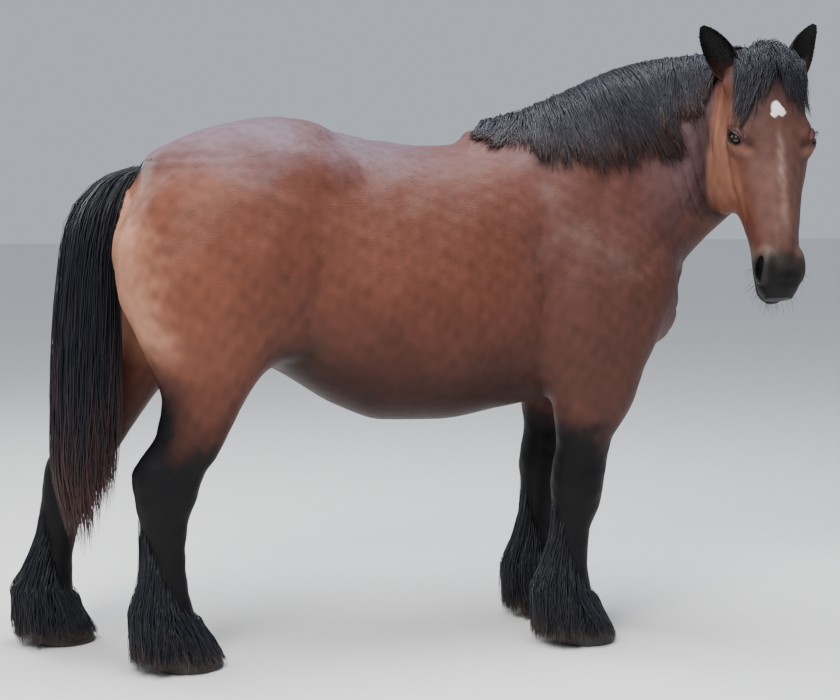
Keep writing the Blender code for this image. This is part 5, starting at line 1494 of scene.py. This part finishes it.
RNG = np.random.default_rng(11)
SKIN = bump(material("short coat", "paint", rough=0.50, Specular_IOR_Level=0.14),
            scale=260, strength=0.50, stretch=(0.35, 1.0, 0.8))
COAT = material("coat tufts", "paint", rough=0.46, Specular_IOR_Level=0.16)
HAIR = material("long hair", "paint", rough=0.42, Specular_IOR_Level=0.42)
EYE = material("wet eye", "paint", rough=0.10, Specular_IOR_Level=0.45)
HORN = bump(material("hoof horn", colour=(0.030, 0.026, 0.023), rough=0.55),
            scale=60, strength=0.6, stretch=(0.2, 0.2, 4.0))

# Tufts of the short coat, the pieces that they are shared out to, and the share of long hair made
COAT_TUFTS, COAT_PIECES, HAIR_SHARE = ((125000, 4, 1.0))
# Pieces of the mane: the span of the neck that each grows from, and its strands
MANE_PIECES = (("mane_lower", 0.05, 0.42, 1700), ("mane_middle", 0.42, 0.72, 1700),
               ("mane_upper", 0.72, 0.985, 1500))
FORELOCK_STRANDS, TAIL_STRANDS, FEATHER_STRANDS, EAR_STRANDS = 1300, 2100, 2400, 420
FEELERS, LASHES = 110, 60
# Legs: name, stations, and whether the stations are mirrored
LEGS = (("fore_right", FORE, False), ("fore_left", FORE, True),
        ("hind_right", HIND_NEAR, False), ("hind_left", HIND_FAR, False))

skin_points, skin_faces = make_skin()

short_coat = coat_tufts(skin_points, skin_faces, COAT_TUFTS)
total = len(short_coat[0])
for i in range(COAT_PIECES):
    part = slice(total * i // COAT_PIECES, total * (i + 1) // COAT_PIECES)
    made = [a[part] if isinstance(a, np.ndarray) else a for a in short_coat]
    hair_object(f"short_coat_{i + 1}", COAT, made, rounded=False)

for name, first, last, count in MANE_PIECES:
    black_hair(name, mane_hair(int(count * HAIR_SHARE), first, last))
black_hair("forelock", forelock_hair(int(FORELOCK_STRANDS * HAIR_SHARE)))
tail = black_hair("tail_hair", tail_hair(int(TAIL_STRANDS * HAIR_SHARE)))
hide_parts("tail")
for name, stations, mirror in LEGS:
    black_hair(f"feather_{name}", feather_hair(stations, mirror, int(FEATHER_STRANDS * HAIR_SHARE)))
for name in EARS:
    black_hair(f"{name}_hair", ear_hair(name, int(EAR_STRANDS * HAIR_SHARE)))
black_hair("feelers", feelers(skin_points, skin_faces, FEELERS))

for side_name, side in (("right", -1), ("left", 1)):
    black_hair(f"lashes_{side_name}", lashes(side, LASHES))
    points, faces, colours = eye_mesh(side)
    piece = mesh_object(f"eyeball_{side_name}", points, faces, EYE, colours)
    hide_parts(f"eye_{side_name}")
for name, *_ in LEGS:
    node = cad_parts[f"hoof_{name}"]
    node.data.materials.clear()
    node.data.materials.append(HORN)

# Floor, light and camera
floor_mesh = bpy.data.meshes.new("floor")
floor_mesh.from_pydata([(-40, -40, 0), (40, -40, 0), (40, 40, 0), (-40, 40, 0)], [], [(0, 1, 2, 3)])
floor_mesh.materials.append(material("pale floor", colour=(0.80, 0.79, 0.77), rough=0.9))
floor = bpy.data.objects.new("floor", floor_mesh)
bpy.context.scene.collection.objects.link(floor)

world = bpy.data.worlds.new("soft sky")
world.use_nodes = True
world.node_tree.nodes["Background"].inputs["Color"].default_value = (0.80, 0.86, 0.97, 1)
world.node_tree.nodes["Background"].inputs["Strength"].default_value = 0.60
bpy.context.scene.world = world


def area_light(name, place, target, size, power, colour=(1, 1, 1)):
    """A round light at a place, turned toward a target."""
    data = bpy.data.lights.new(name, "AREA")
    data.shape = "DISK"
    data.size, data.energy, data.color = size, power, colour
    lamp = bpy.data.objects.new(name, data)
    lamp.location = place
    lamp.rotation_euler = (Vector(target) - Vector(place)).to_track_quat("-Z", "Y").to_euler()
    bpy.context.scene.collection.objects.link(lamp)


area_light("key", (-2.2, -3.6, 4.6), (0, 0, 1.1), size=2.6, power=330, colour=(1.0, 0.97, 0.93))
area_light("over", (0.3, -0.3, 5.0), (0, 0, 1.0), size=3.0, power=330, colour=(0.92, 0.96, 1.0))
area_light("rim", (-3.5, 3.5, 3.5), (0, 0, 1.2), size=2.5, power=120)

# The camera, fitted to the photograph: place, turn in plan, tilt and lens
CAMERA_PLACE, CAMERA_YAW, CAMERA_PITCH, CAMERA_LENS = (-0.923, -4.829, 1.391), 0.225, 0.098, 68.786
lens = bpy.data.cameras.new("camera")
lens.sensor_width, lens.lens = 36.0, CAMERA_LENS
camera = bpy.data.objects.new("camera", lens)
camera.location = Vector(CAMERA_PLACE) + Vector(SHIFT)
camera.rotation_euler = (math.pi / 2 - CAMERA_PITCH, 0, -CAMERA_YAW)
bpy.context.scene.collection.objects.link(camera)
bpy.context.scene.camera = camera
